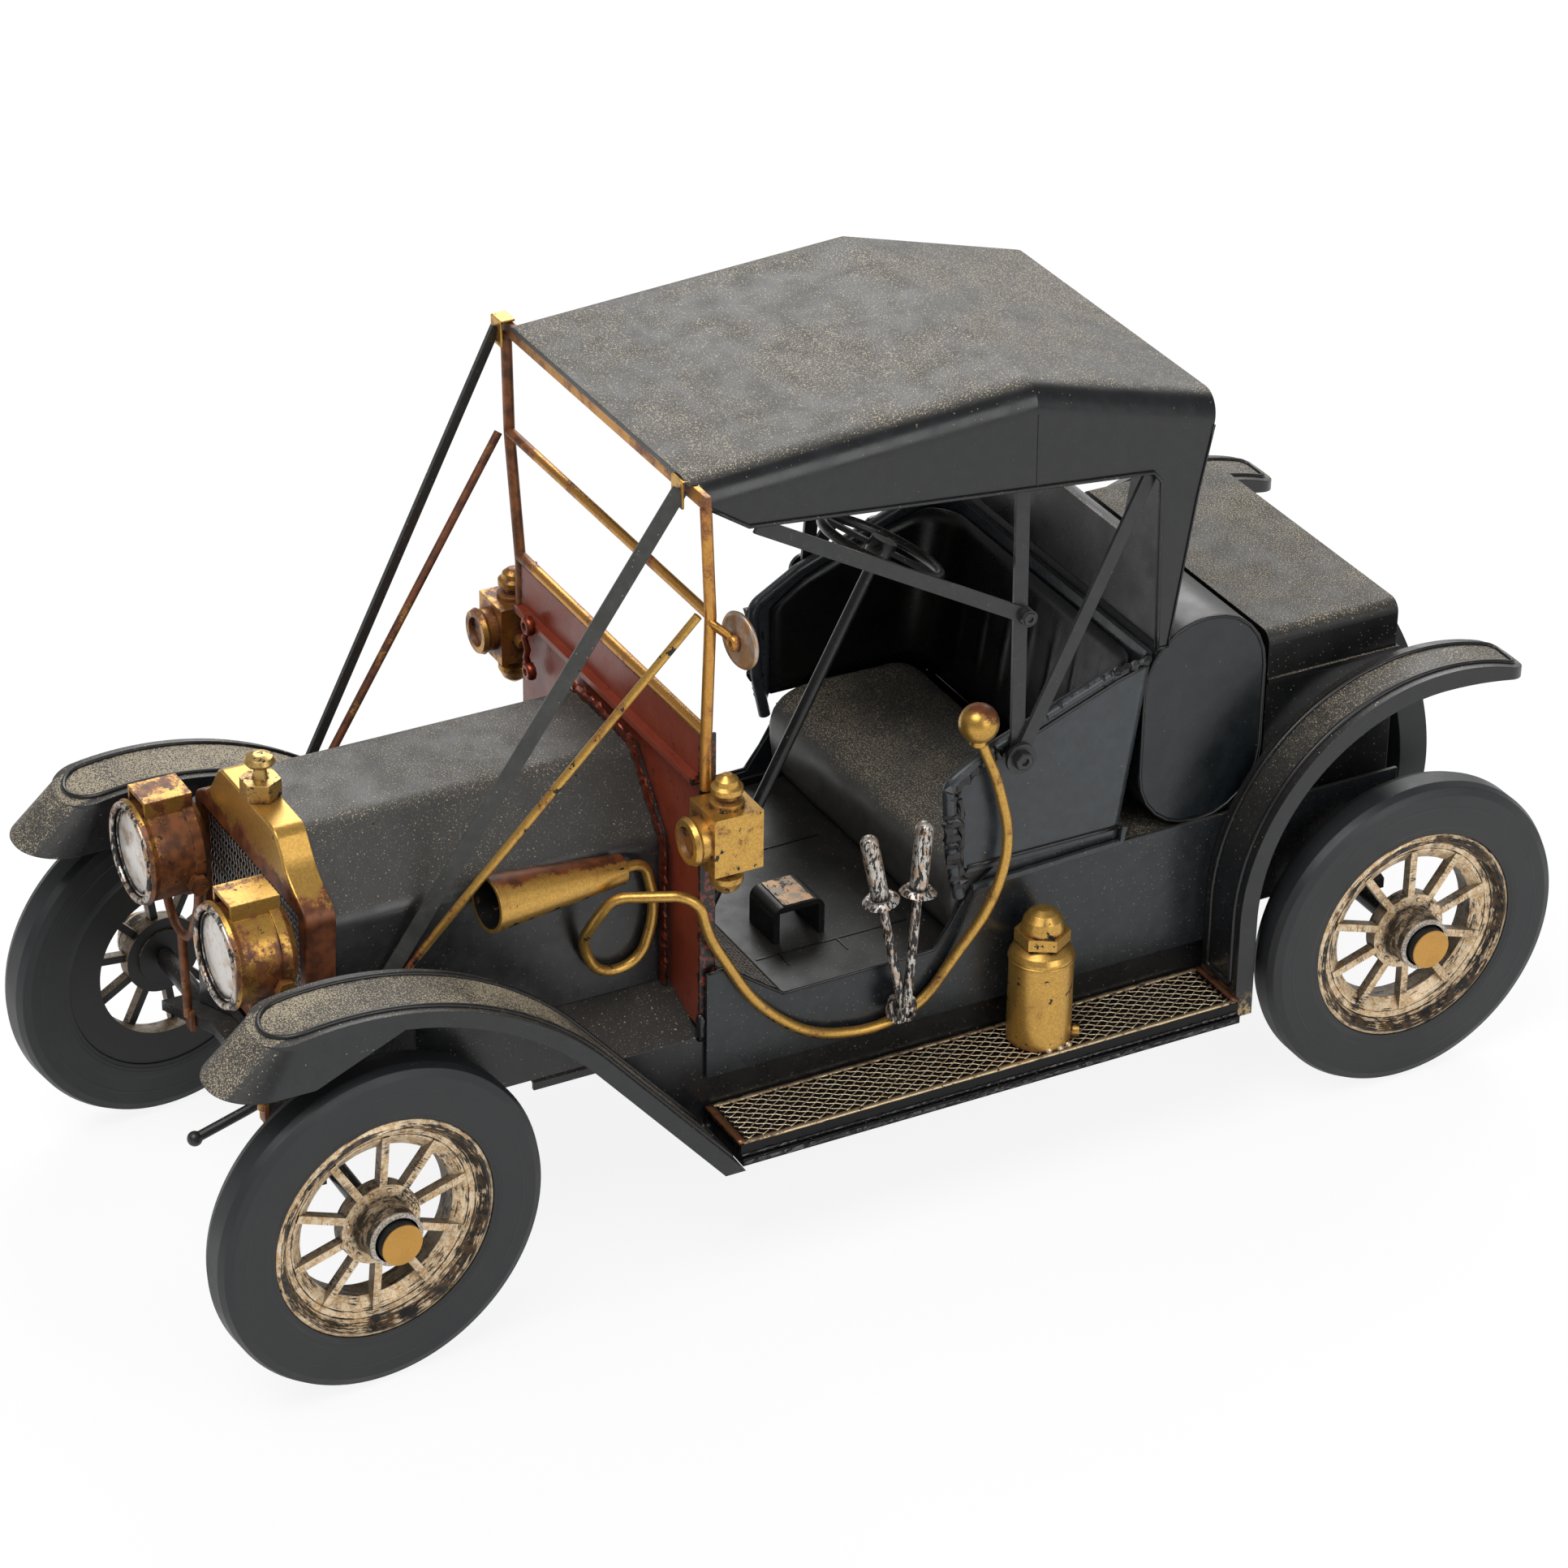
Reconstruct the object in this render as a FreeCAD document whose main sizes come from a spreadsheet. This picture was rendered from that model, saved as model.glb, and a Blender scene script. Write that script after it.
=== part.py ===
import FreeCAD, Part
import math
import os
import re
import Sketcher
from FreeCAD import Placement, Rotation, Vector

# A hand-made sheet-metal model of an early two-seat roadster with its top up.
# Millimetres.  The car faces -Y, its left side is +X, and it stands on z = 0
# with the origin midway between the axles, which is also the middle of its box.

os.makedirs("parts", exist_ok=True)
doc = FreeCAD.newDocument("tin_roadster")

# ---------------------------------------------------------------------------
# Driving sizes: alias, value in millimetres (or degrees, or a count)
# ---------------------------------------------------------------------------
SIZES = (
    # running gear
    ("wheel_base", 200.8), ("wheel_track", 92.2), ("tyre_radius", 30.0), ("tyre_width", 7.6),
    ("rim_radius", 20.2), ("rim_bead", 0.6), ("rim_width", 6.6),
    ("felloe_bore_radius", 14.2), ("spoke_count", 10.0), ("spoke_width", 1.4), ("spoke_depth", 1.8),
    ("hub_flange_radius", 7.3), ("hub_radius", 5.1), ("hub_cap_radius", 3.7),
    ("hub_cap_length", 1.8), ("hub_inner_reach", 1.2), ("hub_bore_depth", 6.6), ("hub_stand_out", 3.4),
    ("hub_recess", 2.2), ("hub_flange", 0.8), ("spoke_plane", 0.9), ("rim_inner_radius", 16.0),
    ("tyre_shoulder", 2.0), ("tyre_wall", 1.6), ("tyre_bead_inset", 0.3),
    ("left_steer_angle", 5.0), ("right_steer_angle", 8.0), ("kingpin_setback", 1.4), ("stub_root", 5.0),
    ("plate_depth", 8.0), ("plate_thickness", 0.8), ("axle_radius", 1.8), ("stub_radius", 1.5),
    ("running_clearance", 0.08), ("spring_width", 4.0), ("spring_thickness", 2.0),
    ("spring_crest", 39.0), ("spring_arch", 8.7), ("spring_half_length", 31.0), ("spring_seat_half", 7.4),
    # chassis and lower body
    ("rail_half_gap", 20.0), ("rail_width", 3.0), ("rail_bottom", 32.0), ("rail_top", 41.0),
    ("rail_reach", 102.4), ("sheet_thickness", 0.7), ("seat_gap", 0.1),
    ("body_half_width", 35.0), ("board_top", 24.7), ("board_plate", 1.4), ("board_edge", 0.8),
    ("panel_bottom", 31.0), ("cockpit_front", 34.0), ("cockpit_sill", 43.8), ("waist_height", 56.0),
    ("panel_front_top", 51.6), ("body_rear", 77.0), ("ledge_height", 39.2), ("ledge_front", 66.0),
    ("floor_rise", 11.0), ("toe_board_foot", 17.7), ("floor_rear", 105.0), ("sill_outer", 34.2),
    ("sill_bottom", 21.0), ("ledge_top", 44.6), ("entry_front", 19.4), ("entry_rear", 9.8),
    ("seat_panel_bottom", 58.7), ("seat_panel_foot", 46.6), ("quarter_bottom", 36.0), ("sill_overrun", 4.0), ("sill_lip", 1.5), ("shelf_front", 48.6),
    # bonnet and radiator
    ("bonnet_height", 84.8), ("bonnet_flat_half", 11.0), ("bonnet_half_width", 22.3),
    ("bonnet_shoulder", 72.0), ("bonnet_bottom", 44.0), ("bonnet_corner_radius", 4.0),
    ("radiator_front", 101.4), ("radiator_depth", 5.4), ("radiator_opening_top", 74.4),
    ("radiator_opening_half", 20.4), ("radiator_half_width", 22.6), ("radiator_shoulder", 75.2),
    ("radiator_shoulder_half", 23.6), ("radiator_flat_half", 11.6), ("radiator_waist_half", 16.4),
    ("radiator_waist", 79.0), ("radiator_height", 85.6), ("radiator_fold", 3.0), ("radiator_flare", 12.0), ("radiator_edge", 0.4),
    ("radiator_opening_bottom", 46.0), ("core_recess", 1.6),
    ("filler_neck_height", 2.6), ("crank_reach", 13.1), ("filler_nut_radius", 3.5), ("filler_nut_height", 3.2),
    ("filler_knob_radius", 2.7),
    # firewall and windscreen
    ("firewall_height", 97.4), ("firewall_half_width", 34.0), ("firewall_ledge_height", 89.2), ("firewall_sheet", 0.9), ("firewall_flange", 2.0), ("screen_foot", 88.0),
    ("screen_cross_half", 37.6), ("screen_top_half", 37.0),
    ("screen_half_width", 36.6), ("screen_wire", 1.0), ("screen_cross_height", 121.6),
    ("screen_top_drop", 3.6), ("screen_rail_height", 2.6), ("screen_rail_thickness", 1.0),
    # lamps
    ("headlamp_spacing", 36.8), ("headlamp_height", 69.1), ("headlamp_front", 115.2),
    ("headlamp_radius", 8.8), ("headlamp_depth", 11.5), ("headlamp_bead", 0.9), ("headlamp_band", 8.2),
    ("headlamp_hood_width", 7.4), ("headlamp_hood_length", 8.6), ("headlamp_hood_height", 2.2), ("headlamp_lens_recess", 1.0), ("fork_wire", 0.8), ("fork_drop", 9.6), ("stem_spacing", 32.0), ("lamp_nut_radius", 1.9),
    ("side_lamp_spacing", 81.2), ("side_lamp_width", 9.0), ("side_lamp_height", 10.8),
    ("side_lamp_centre", 82.4), ("side_lamp_y", -33.4), ("side_lamp_bracket", 1.2),
    ("mirror_radius", 5.0), ("mirror_thickness", 1.2), ("mirror_arm", 1.4),
    # seat, tank and trunk
    ("seat_front", 13.0), ("seat_rear", 45.4), ("seat_height", 60.5), ("cushion_thickness", 5.0),
    ("seat_back_rise", 17.2), ("seat_back_y", 51.9), ("seat_outer", 36.0), ("arm_top", 77.9),
    ("seat_roll", 1.1), ("seat_corner_radius", 2.6), ("bench_corner_radius", 6.0), ("tank_corner_radius", 12.3), ("trunk_edge_radius", 2.4),
    ("spare_bore", 15.5), ("spare_boss_radius", 4.0), ("fender_corner_radius", 5.5),
    ("apron_front", 88.0), ("apron_rear_reach", 44.0), ("apron_bottom", 41.0),
    ("board_outer", 48.3), ("deck_outer", 47.5), ("tank_clearance", 0.23), ("tank_centre_height", 75.6), ("tank_width", 25.0),
    ("tank_height", 40.6), ("tank_half_length", 33.6), ("trunk_front", 77.6), ("trunk_rear", 104.5),
    ("trunk_half_width", 31.6), ("trunk_top", 88.0), ("trunk_bottom", 50.0), ("trunk_bead_height", 78.6),
    ("spare_radius", 25.4), ("spare_width", 7.6), ("spare_height", 50.0), ("spare_plane", 114.8),
    # fenders
    ("fender_inner", 35.1), ("fender_width", 14.5), ("fender_lip", 2.9),
    ("front_crest_forward", 104.6), ("front_crest_height", 70.8), ("front_nose_radius", 54.0),
    ("front_slope_radius", 60.0), ("front_slope_angle", 49.0), ("front_nose_angle", 15.5),
    ("scoop_reach", 8.4), ("scoop_drop", 7.4), ("scoop_flare", 1.6), ("scoop_rear", 96.0),
    ("scoop_level_rear", 112.0),
    ("rear_fender_foot", 65.2), ("rear_arc_radius", 40.6), ("rear_crest_height", 80.5),
    ("rear_tail_radius", 42.0), ("rear_tail_angle", 24.5), ("rear_fender_width", 11.4),
    ("rear_fender_lip", 3.5), ("rear_lip_radius", 76.0), ("rear_lip_angle", 15.0), ("tail_corner_radius", 4.0),
    # roof
    ("roof_half_width", 35.4), ("roof_front", 37.0), ("roof_front_height", 144.2), ("roof_ridge_y", 26.8),
    ("roof_ridge_rise", 4.0), ("roof_rear", 62.0), ("roof_rear_drop", 9.6), ("roof_sheet", 0.9),
    ("roof_fold_radius", 5.0), ("curtain_knee_y", 58.4), ("curtain_knee_drop", 17.6),
    ("iron_width", 2.6), ("iron_thickness", 0.7), ("iron_foot_x", 37.6), ("iron_foot_y", 23.5),
    ("iron_foot_z", 80.8), ("iron_head_x", 33.9), ("iron_joint_z", 106.6),
    ("valance_front_depth", 9.4), ("valance_rear_depth", 11.4), ("curtain_overlap", 3.0),
    ("curtain_corner_y", 51.9), ("curtain_bottom_y", 54.0), ("window_half_width", 17.0),
    ("window_sill_share", 0.4733), ("window_head_drop", 17.6),
    # controls and fittings
    ("wire_radius", 0.9), ("lever_radius", 1.6), ("column_radius", 1.1), ("steering_wheel_radius", 11.0),
    ("cylinder_radius", 5.7), ("cylinder_height", 17.6), ("cylinder_y", 28.0), ("cylinder_x", 41.0),
    ("lever_pivot_y", 2.0), ("lever_stand_out", 5.2), ("lever_front_y", -5.2), ("lever_rear_y", 5.4),
    ("lever_head_x", 3.4), ("lever_top", 71.4), ("lever_wire", 0.85), ("steering_hub", 3.0),
    ("pedal_front", 12.0), ("pedal_rear", 2.0), ("pedal_height", 7.0), ("pedal_width", 9.0), ("pedal_x", 13.0), ("pedal_thickness", 1.2),
    ("pedal_radius", 2.0), ("crank_wire", 0.9),
    ("horn_mouth_radius", 5.0), ("horn_tail_radius", 2.6), ("horn_curl_radius", 7.2), ("horn_run_x", 29.9),
    ("horn_mouth_x", 27.6), ("horn_mouth_forward", 71.0), ("horn_mouth_height", 71.9),
    ("horn_tail_x", 25.3), ("horn_tail_forward", 45.2), ("horn_tail_height", 70.4), ("horn_curl_drop", 13.0),
    ("bulb_x", 38.0), ("bulb_y", 15.6), ("bulb_height", 89.2),
    ("tube_wire", 0.95), ("bulb_radius", 3.5), ("lever_pivot_z", 36.6), ("strap_left_x", 31.7), ("strap_right_x", 37.0),
    ("strap_width", 2.6), ("strap_thickness", 0.6), ("stay_radius", 0.75),
    ("strap_foot_forward", 89.4), ("strap_foot_height", 57.0), ("stay_foot_forward", 85.8), ("stay_foot_height", 57.8),
    ("valve_radius", 1.2), ("valve_reach", 1.4), ("column_x", 14.0), ("column_foot_forward", 24.8),
    ("column_top_y", 9.5), ("column_top_height", 112.6),
)
sheet = doc.addObject("Spreadsheet::Sheet", "Sizes")
for row, (alias, value) in enumerate(SIZES, start=1):
    sheet.set("A%d" % row, alias.replace("_", " "))
    sheet.set("B%d" % row, repr(value))
    sheet.setAlias("B%d" % row, alias)
doc.recompute()
ALIASES = {alias for alias, value in SIZES}


class Sizes:
    """The spreadsheet's values by alias, as plain numbers."""

    def __getattr__(self, alias):
        return float(sheet.get(alias))


size = Sizes()
SCREEN_TOP = size.roof_front_height - size.screen_top_drop
RIDGE_HEIGHT = size.roof_front_height + size.roof_ridge_rise
REAR_HEIGHT = RIDGE_HEIGHT - size.roof_rear_drop
VALANCE_FRONT = size.roof_front_height - size.valance_front_depth
VALANCE_REAR = REAR_HEIGHT - size.valance_rear_depth
CURTAIN_BOTTOM = size.tank_centre_height + size.tank_height / 2 - size.curtain_overlap
WINDOW_HEAD = REAR_HEIGHT - size.window_head_drop
WINDOW_SILL = CURTAIN_BOTTOM + size.window_sill_share * (WINDOW_HEAD - CURTAIN_BOTTOM)

# the tank stands clear of the seat's leaning back, level with the top of its flat front
TANK_CENTRE_Y = ("seat_panel_foot + tank_clearance + tank_width / 2 + (seat_back_y - seat_panel_foot) * "
                 "(tank_centre_height + tank_height / 2 - tank_corner_radius - seat_panel_bottom) / "
                 "(tank_centre_height + seat_back_rise - seat_panel_bottom)")

# where the front fender's slope comes down to the sill's bottom
FENDER_FOOT = ("front_slope_radius * sin(front_slope_angle) - front_crest_forward + (front_crest_height - "
               "front_slope_radius * (1 - cos(front_slope_angle)) - sill_bottom) / tan(front_slope_angle)")


# ---------------------------------------------------------------------------
# Helpers
# ---------------------------------------------------------------------------
NODES = []
SIDES = (("left", 1), ("right", -1))
ENDS = (("front", -1), ("rear", 1))
X_AXIS, Y_AXIS, Z_AXIS = Vector(1, 0, 0), Vector(0, 1, 0), Vector(0, 0, 1)


def bound(expression):
    """The expression with every alias pointed at the sheet."""
    def point(match):
        word = match.group(0)
        return "Sizes." + word if word in ALIASES else word
    return re.sub(r"[a-z][a-z0-9]*(?:_[a-z0-9]+)+", point, expression)


def node(label, item):
    """Take a finished object as a sub-part: its label is its file's name."""
    item.Label = label
    NODES.append(item)
    return item


def wheel_axis(end, side):
    """The direction in which a wheel's hub points outwards: the front wheels are steered a little."""
    hand = 1 if side == "left" else -1
    angle = math.radians(value_of("%s_steer_angle" % side)) if end == "front" else 0.0
    return Vector(math.cos(angle), math.sin(angle), 0) * hand


def towards(direction):
    """The turn that brings +Z to a direction in the ground plane, as an axis and an angle."""
    return Vector(-direction.y, direction.x, 0), 90


def primitive(kind, name, at=("0", "0", "0"), turn=None, **properties):
    """A Part primitive with its sizes and its place bound to the sheet."""
    item = doc.addObject("Part::" + kind, name)
    for key, expression in properties.items():
        item.setExpression(key, bound(expression))
    if turn:
        axis, angle = turn
        item.Placement = Placement(Vector(), Rotation(axis, angle))
    for letter, expression in zip("xyz", at):
        item.setExpression("Placement.Base." + letter, bound(expression))
    return item


def block(name, x, y, z):
    """A box from its low and high bounds along each axis."""
    spans = ["(%s) - (%s)" % (high, low) for low, high in (x, y, z)]
    return primitive("Box", name, at=(x[0], y[0], z[0]),
                     Length=spans[0], Width=spans[1], Height=spans[2])


def rod(name, radius, length, at, axis=Z_AXIS):
    """A cylinder that starts at a point and runs along an axis."""
    turns = {(1, 0, 0): (Y_AXIS, 90), (0, 1, 0): (X_AXIS, -90), (0, 0, 1): None,
             (-1, 0, 0): (Y_AXIS, -90), (0, -1, 0): (X_AXIS, 90)}
    turn = turns[(round(axis.x), round(axis.y), round(axis.z))]
    return primitive("Cylinder", name, at=at, turn=turn, Radius=radius, Height=length)


def fuse(name, items):
    joined = doc.addObject("Part::MultiFuse", name)
    joined.Shapes = items
    return joined


def cut(name, base, tool):
    rest = doc.addObject("Part::Cut", name)
    rest.Base = base
    rest.Tool = tool
    return rest


def feature(name, shape):
    item = doc.addObject("Part::Feature", name)
    item.Shape = shape
    return item


def pair(stem, shape):
    """A left-hand shape and its mirror image, each a node of its own."""
    for side, sign in SIDES:
        placed = shape if sign > 0 else shape.mirror(Vector(), X_AXIS)
        node("%s_%s" % (stem, side), feature("%s_%s" % (stem, side), placed))


def rounded_path(points, radius):
    """Straight runs through the points, with a tangent arc at each corner."""
    edges = []
    start = points[0]
    for before, corner, after in zip(points, points[1:], points[2:]):
        back, ahead = (before - corner).normalize(), (after - corner).normalize()
        half = back.getAngle(ahead) / 2
        reach = radius / math.tan(half)
        limit = 0.48 * min((before - corner).Length, (after - corner).Length)
        reach = min(reach, limit)
        bend = reach * math.tan(half)
        inward = (back + ahead).normalize()
        enter, leave = corner + back * reach, corner + ahead * reach
        middle = corner + inward * (bend / math.sin(half) - bend)
        edges.append(Part.LineSegment(start, enter).toShape())
        edges.append(Part.Arc(enter, middle, leave).toShape())
        start = leave
    edges.append(Part.LineSegment(start, points[-1]).toShape())
    return Part.Wire(edges)


def round_wire(points, radius, bend=3.0):
    """A round wire bent through the points."""
    points = [Vector(point) for point in points]
    if len(points) == 2:
        path = Part.Wire([Part.LineSegment(points[0], points[1]).toShape()])
    else:
        path = rounded_path(points, bend)
    circle = Part.Wire([Part.Circle(points[0], points[1] - points[0], radius).toShape()])
    return path.makePipeShell([circle], True, False)


def extruded(outline, low, high, axis="x", corner=0.0):
    """A flat outline, its corners rounded where asked, extruded from low to high."""
    lift = {"x": lambda a, b: Vector(low, a, b), "y": lambda a, b: Vector(a, low, b),
            "z": lambda a, b: Vector(a, b, low)}[axis]
    ring = [lift(*point) for point in outline]
    wire = Part.makePolygon(ring + ring[:1])
    travel = {"x": X_AXIS, "y": Y_AXIS, "z": Z_AXIS}[axis] * (high - low)
    solid = Part.Face(wire).extrude(travel)
    if corner:
        edges = [edge for edge in solid.Edges
                 if edge.Vertexes[0].Point.sub(edge.Vertexes[-1].Point).cross(travel).Length < 1e-6]
        solid = solid.makeFillet(corner, edges)
    return solid


def union(shapes):
    joined = shapes[0].multiFuse(shapes[1:])
    return joined.removeSplitter()


def outline_sketch(body, name, role, corners):
    """A closed outline on one of the body's own planes, each corner tied to the sheet."""
    sketch = body.newObject("Sketcher::SketchObject", name)
    plane = [item for item in body.Origin.OriginFeatures if item.Role == role][0]
    sketch.AttachmentSupport = [(plane, "")]
    sketch.MapMode = "FlatFace"
    places = [(value_of(across), value_of(up)) for across, up in corners]
    count = len(corners)
    for index in range(count):
        first, last = places[index], places[(index + 1) % count]
        sketch.addGeometry(Part.LineSegment(Vector(*first, 0), Vector(*last, 0)), False)
    for index in range(count):
        sketch.addConstraint(Sketcher.Constraint("Coincident", index, 2, (index + 1) % count, 1))
    for index, corner in enumerate(corners):
        for kind, letter, expression, place in zip(("DistanceX", "DistanceY"), "xy",
                                                   corner, places[index]):
            constraint = Sketcher.Constraint(kind, -1, 1, index, 1, place)
            number = sketch.addConstraint(constraint)
            sketch.renameConstraint(number, "%s%d" % (letter, index))
            sketch.setExpression("Constraints.%s%d" % (letter, index), bound(expression))
    return sketch


def value_of(expression):
    """What an expression over the sheet comes to now."""
    return float(sheet.evalExpression(bound(expression)))


def padded(name, role, corners, length, offset="0"):
    """A PartDesign body: one outline padded both ways from an offset plane."""
    body = doc.addObject("PartDesign::Body", name)
    sketch = outline_sketch(body, name + "_outline", role, corners)
    sketch.setExpression("AttachmentOffset.Base.z", bound(offset))
    pad = body.newObject("PartDesign::Pad", name + "_pad")
    pad.Profile = sketch
    pad.setExpression("Length", bound(length))
    pad.Midplane = True
    doc.recompute()
    return body


def rounded(body, name, radius, wanted):
    """A PartDesign fillet on the edges of the body's tip that a test picks."""
    tip = body.Tip
    picked = ["Edge%d" % number for number, edge in enumerate(tip.Shape.Edges, start=1) if wanted(edge)]
    fillet = body.newObject("PartDesign::Fillet", name)
    fillet.Base = (tip, picked)
    fillet.setExpression("Radius", bound(radius))
    doc.recompute()
    return fillet


def along(edge, axis):
    """Whether an edge is straight and runs along an axis."""
    if edge.Curve.TypeId != "Part::GeomLine":
        return False
    return (edge.Vertexes[-1].Point - edge.Vertexes[0].Point).cross(axis).Length < 1e-6


def turned(name, outline, at, axis=Z_AXIS):
    """A PartDesign body turned about an axis: (radius, height) corners, closed."""
    body = doc.addObject("PartDesign::Body", name)
    sketch = outline_sketch(body, name + "_profile", "XZ_Plane", outline)
    spin = body.newObject("PartDesign::Revolution", name + "_turn")
    spin.Profile = sketch
    spin.ReferenceAxis = (sketch, ["V_Axis"])
    spin.Angle = 360
    body.Placement = Placement(Vector(), Rotation(Z_AXIS, axis))
    for letter, expression in zip("xyz", at):
        body.setExpression("Placement.Base." + letter, bound(expression))
    doc.recompute()
    return body


def strip(start, end, width, thickness, normal=X_AXIS):
    """A flat strip of metal between two points, its broad face towards a normal."""
    start, end = Vector(*start), Vector(*end)
    along_it = (end - start).normalize()
    across = along_it.cross(normal).normalize()
    face = across.cross(along_it)
    corner = start - across * (width / 2) - face * (thickness / 2)
    ring = [corner, corner + across * width, corner + across * width + face * thickness,
            corner + face * thickness]
    return Part.Face(Part.makePolygon(ring + ring[:1])).extrude(end - start)


# ---------------------------------------------------------------------------
# Chassis: two channel rails, end plates, transverse leaf springs and axles
# ---------------------------------------------------------------------------
def chassis_frame():
    """Two rails, three plates between them and a perch before each axle's spring."""
    whole = []
    for side, sign in SIDES:
        inner, outer = "%d * rail_half_gap" % sign, "%d * (rail_half_gap + rail_width)" % sign
        across = (inner, outer) if sign > 0 else (outer, inner)
        whole.append(block("rail_" + side, across, ("-rail_reach", "rail_reach"), ("rail_bottom", "rail_top")))
    for name, low, high in (("front_plate", "-rail_reach", "-rail_reach + plate_depth"),
                            ("rear_plate", "rail_reach - plate_depth", "rail_reach"),
                            ("middle_plate", "-plate_depth / 2", "plate_depth / 2")):
        whole.append(block(name, ("-rail_half_gap", "rail_half_gap"), (low, high),
                           ("rail_bottom", "rail_bottom + plate_thickness")))
    for name, low, high in (("front_perch", "-rail_reach", "-rail_reach + 2 * plate_thickness"),
                            ("rear_perch", "rail_reach - 2 * plate_thickness", "rail_reach")):
        whole.append(block(name, ("-rail_half_gap", "rail_half_gap"), (low, high),
                           ("rail_bottom", "spring_crest")))
    return node("chassis_frame", fuse("chassis_frame", whole))


def rear_axle():
    """A round bar with a turned-down stub for each wheel."""
    reach = "wheel_track / 2 - hub_inner_reach - seat_gap"
    bar = rod("rear_bar", "axle_radius", "2 * (%s)" % reach, ("-(%s)" % reach, "wheel_base / 2", "tyre_radius"), X_AXIS)
    tip = "wheel_track / 2 + hub_bore_depth - hub_inner_reach - seat_gap"
    stub = rod("rear_stub", "stub_radius", "2 * (%s)" % tip, ("-(%s)" % tip, "wheel_base / 2", "tyre_radius"), X_AXIS)
    return node("rear_axle", fuse("rear_axle", [bar, stub]))


def front_axle():
    """A round bar whose stubs are set at the angle at which the front wheels stand."""
    reach = "wheel_track / 2 - hub_inner_reach - kingpin_setback"
    pieces = [rod("front_bar", "axle_radius", "2 * (%s)" % reach, ("-(%s)" % reach, "-wheel_base / 2", "tyre_radius"),
                  X_AXIS)]
    for side, sign in SIDES:
        angle = "%s_steer_angle" % side
        start = ("%d * (wheel_track / 2 - stub_root * cos(%s))" % (sign, angle),
                 "-wheel_base / 2 - %d * stub_root * sin(%s)" % (sign, angle), "tyre_radius")
        pieces.append(primitive("Cylinder", "front_stub_" + side, at=start, turn=towards(wheel_axis("front", side)),
                                Radius="stub_radius",
                                Height="stub_root + hub_bore_depth - hub_inner_reach - seat_gap"))
    return node("front_axle", fuse("front_axle", pieces))


def spring(end, sign):
    """A leaf spring across the car, arched up before the end of the frame."""
    top, low = "spring_crest", "spring_crest - spring_arch"
    corners = [("-spring_half_length", low), ("-spring_seat_half", top), ("spring_seat_half", top),
               ("spring_half_length", low), ("spring_half_length", "%s - spring_thickness" % low),
               ("spring_seat_half", "%s - spring_thickness" % top),
               ("-spring_seat_half", "%s - spring_thickness" % top),
               ("-spring_half_length", "%s - spring_thickness" % low)]
    # the sketch plane looks along -Y, so its offset runs the other way
    body = padded(end + "_spring", "XZ_Plane", corners, "spring_width",
                  "%d * (rail_reach + seat_gap + spring_width / 2)" % -sign)
    return node(end + "_spring", body)


chassis_frame()
front_axle()
rear_axle()
for end, sign in ENDS:
    spring(end, sign)


# ---------------------------------------------------------------------------
# Wheels: a rubber tyre on a cast rim with ten straight spokes
# ---------------------------------------------------------------------------
def tyre(name, at, radius, width, axis=X_AXIS):
    """A tyre with a narrow flat tread, rounded shoulders and a seat for the rim."""
    outline = [("rim_radius + seat_gap", "-%s / 2 + tyre_bead_inset" % width),
               ("rim_radius + tyre_wall", "-%s / 2" % width),
               ("%s - tyre_shoulder" % radius, "-%s / 2" % width),
               ("%s - tyre_shoulder * 0.3" % radius, "-%s / 2 + tyre_shoulder * 0.3" % width),
               (radius, "-%s / 2 + tyre_shoulder" % width), (radius, "%s / 2 - tyre_shoulder" % width),
               ("%s - tyre_shoulder * 0.3" % radius, "%s / 2 - tyre_shoulder * 0.3" % width),
               ("%s - tyre_shoulder" % radius, "%s / 2" % width),
               ("rim_radius + tyre_wall", "%s / 2" % width),
               ("rim_radius + seat_gap", "%s / 2 - tyre_bead_inset" % width)]
    return node(name, turned(name, outline, at, axis))


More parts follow.
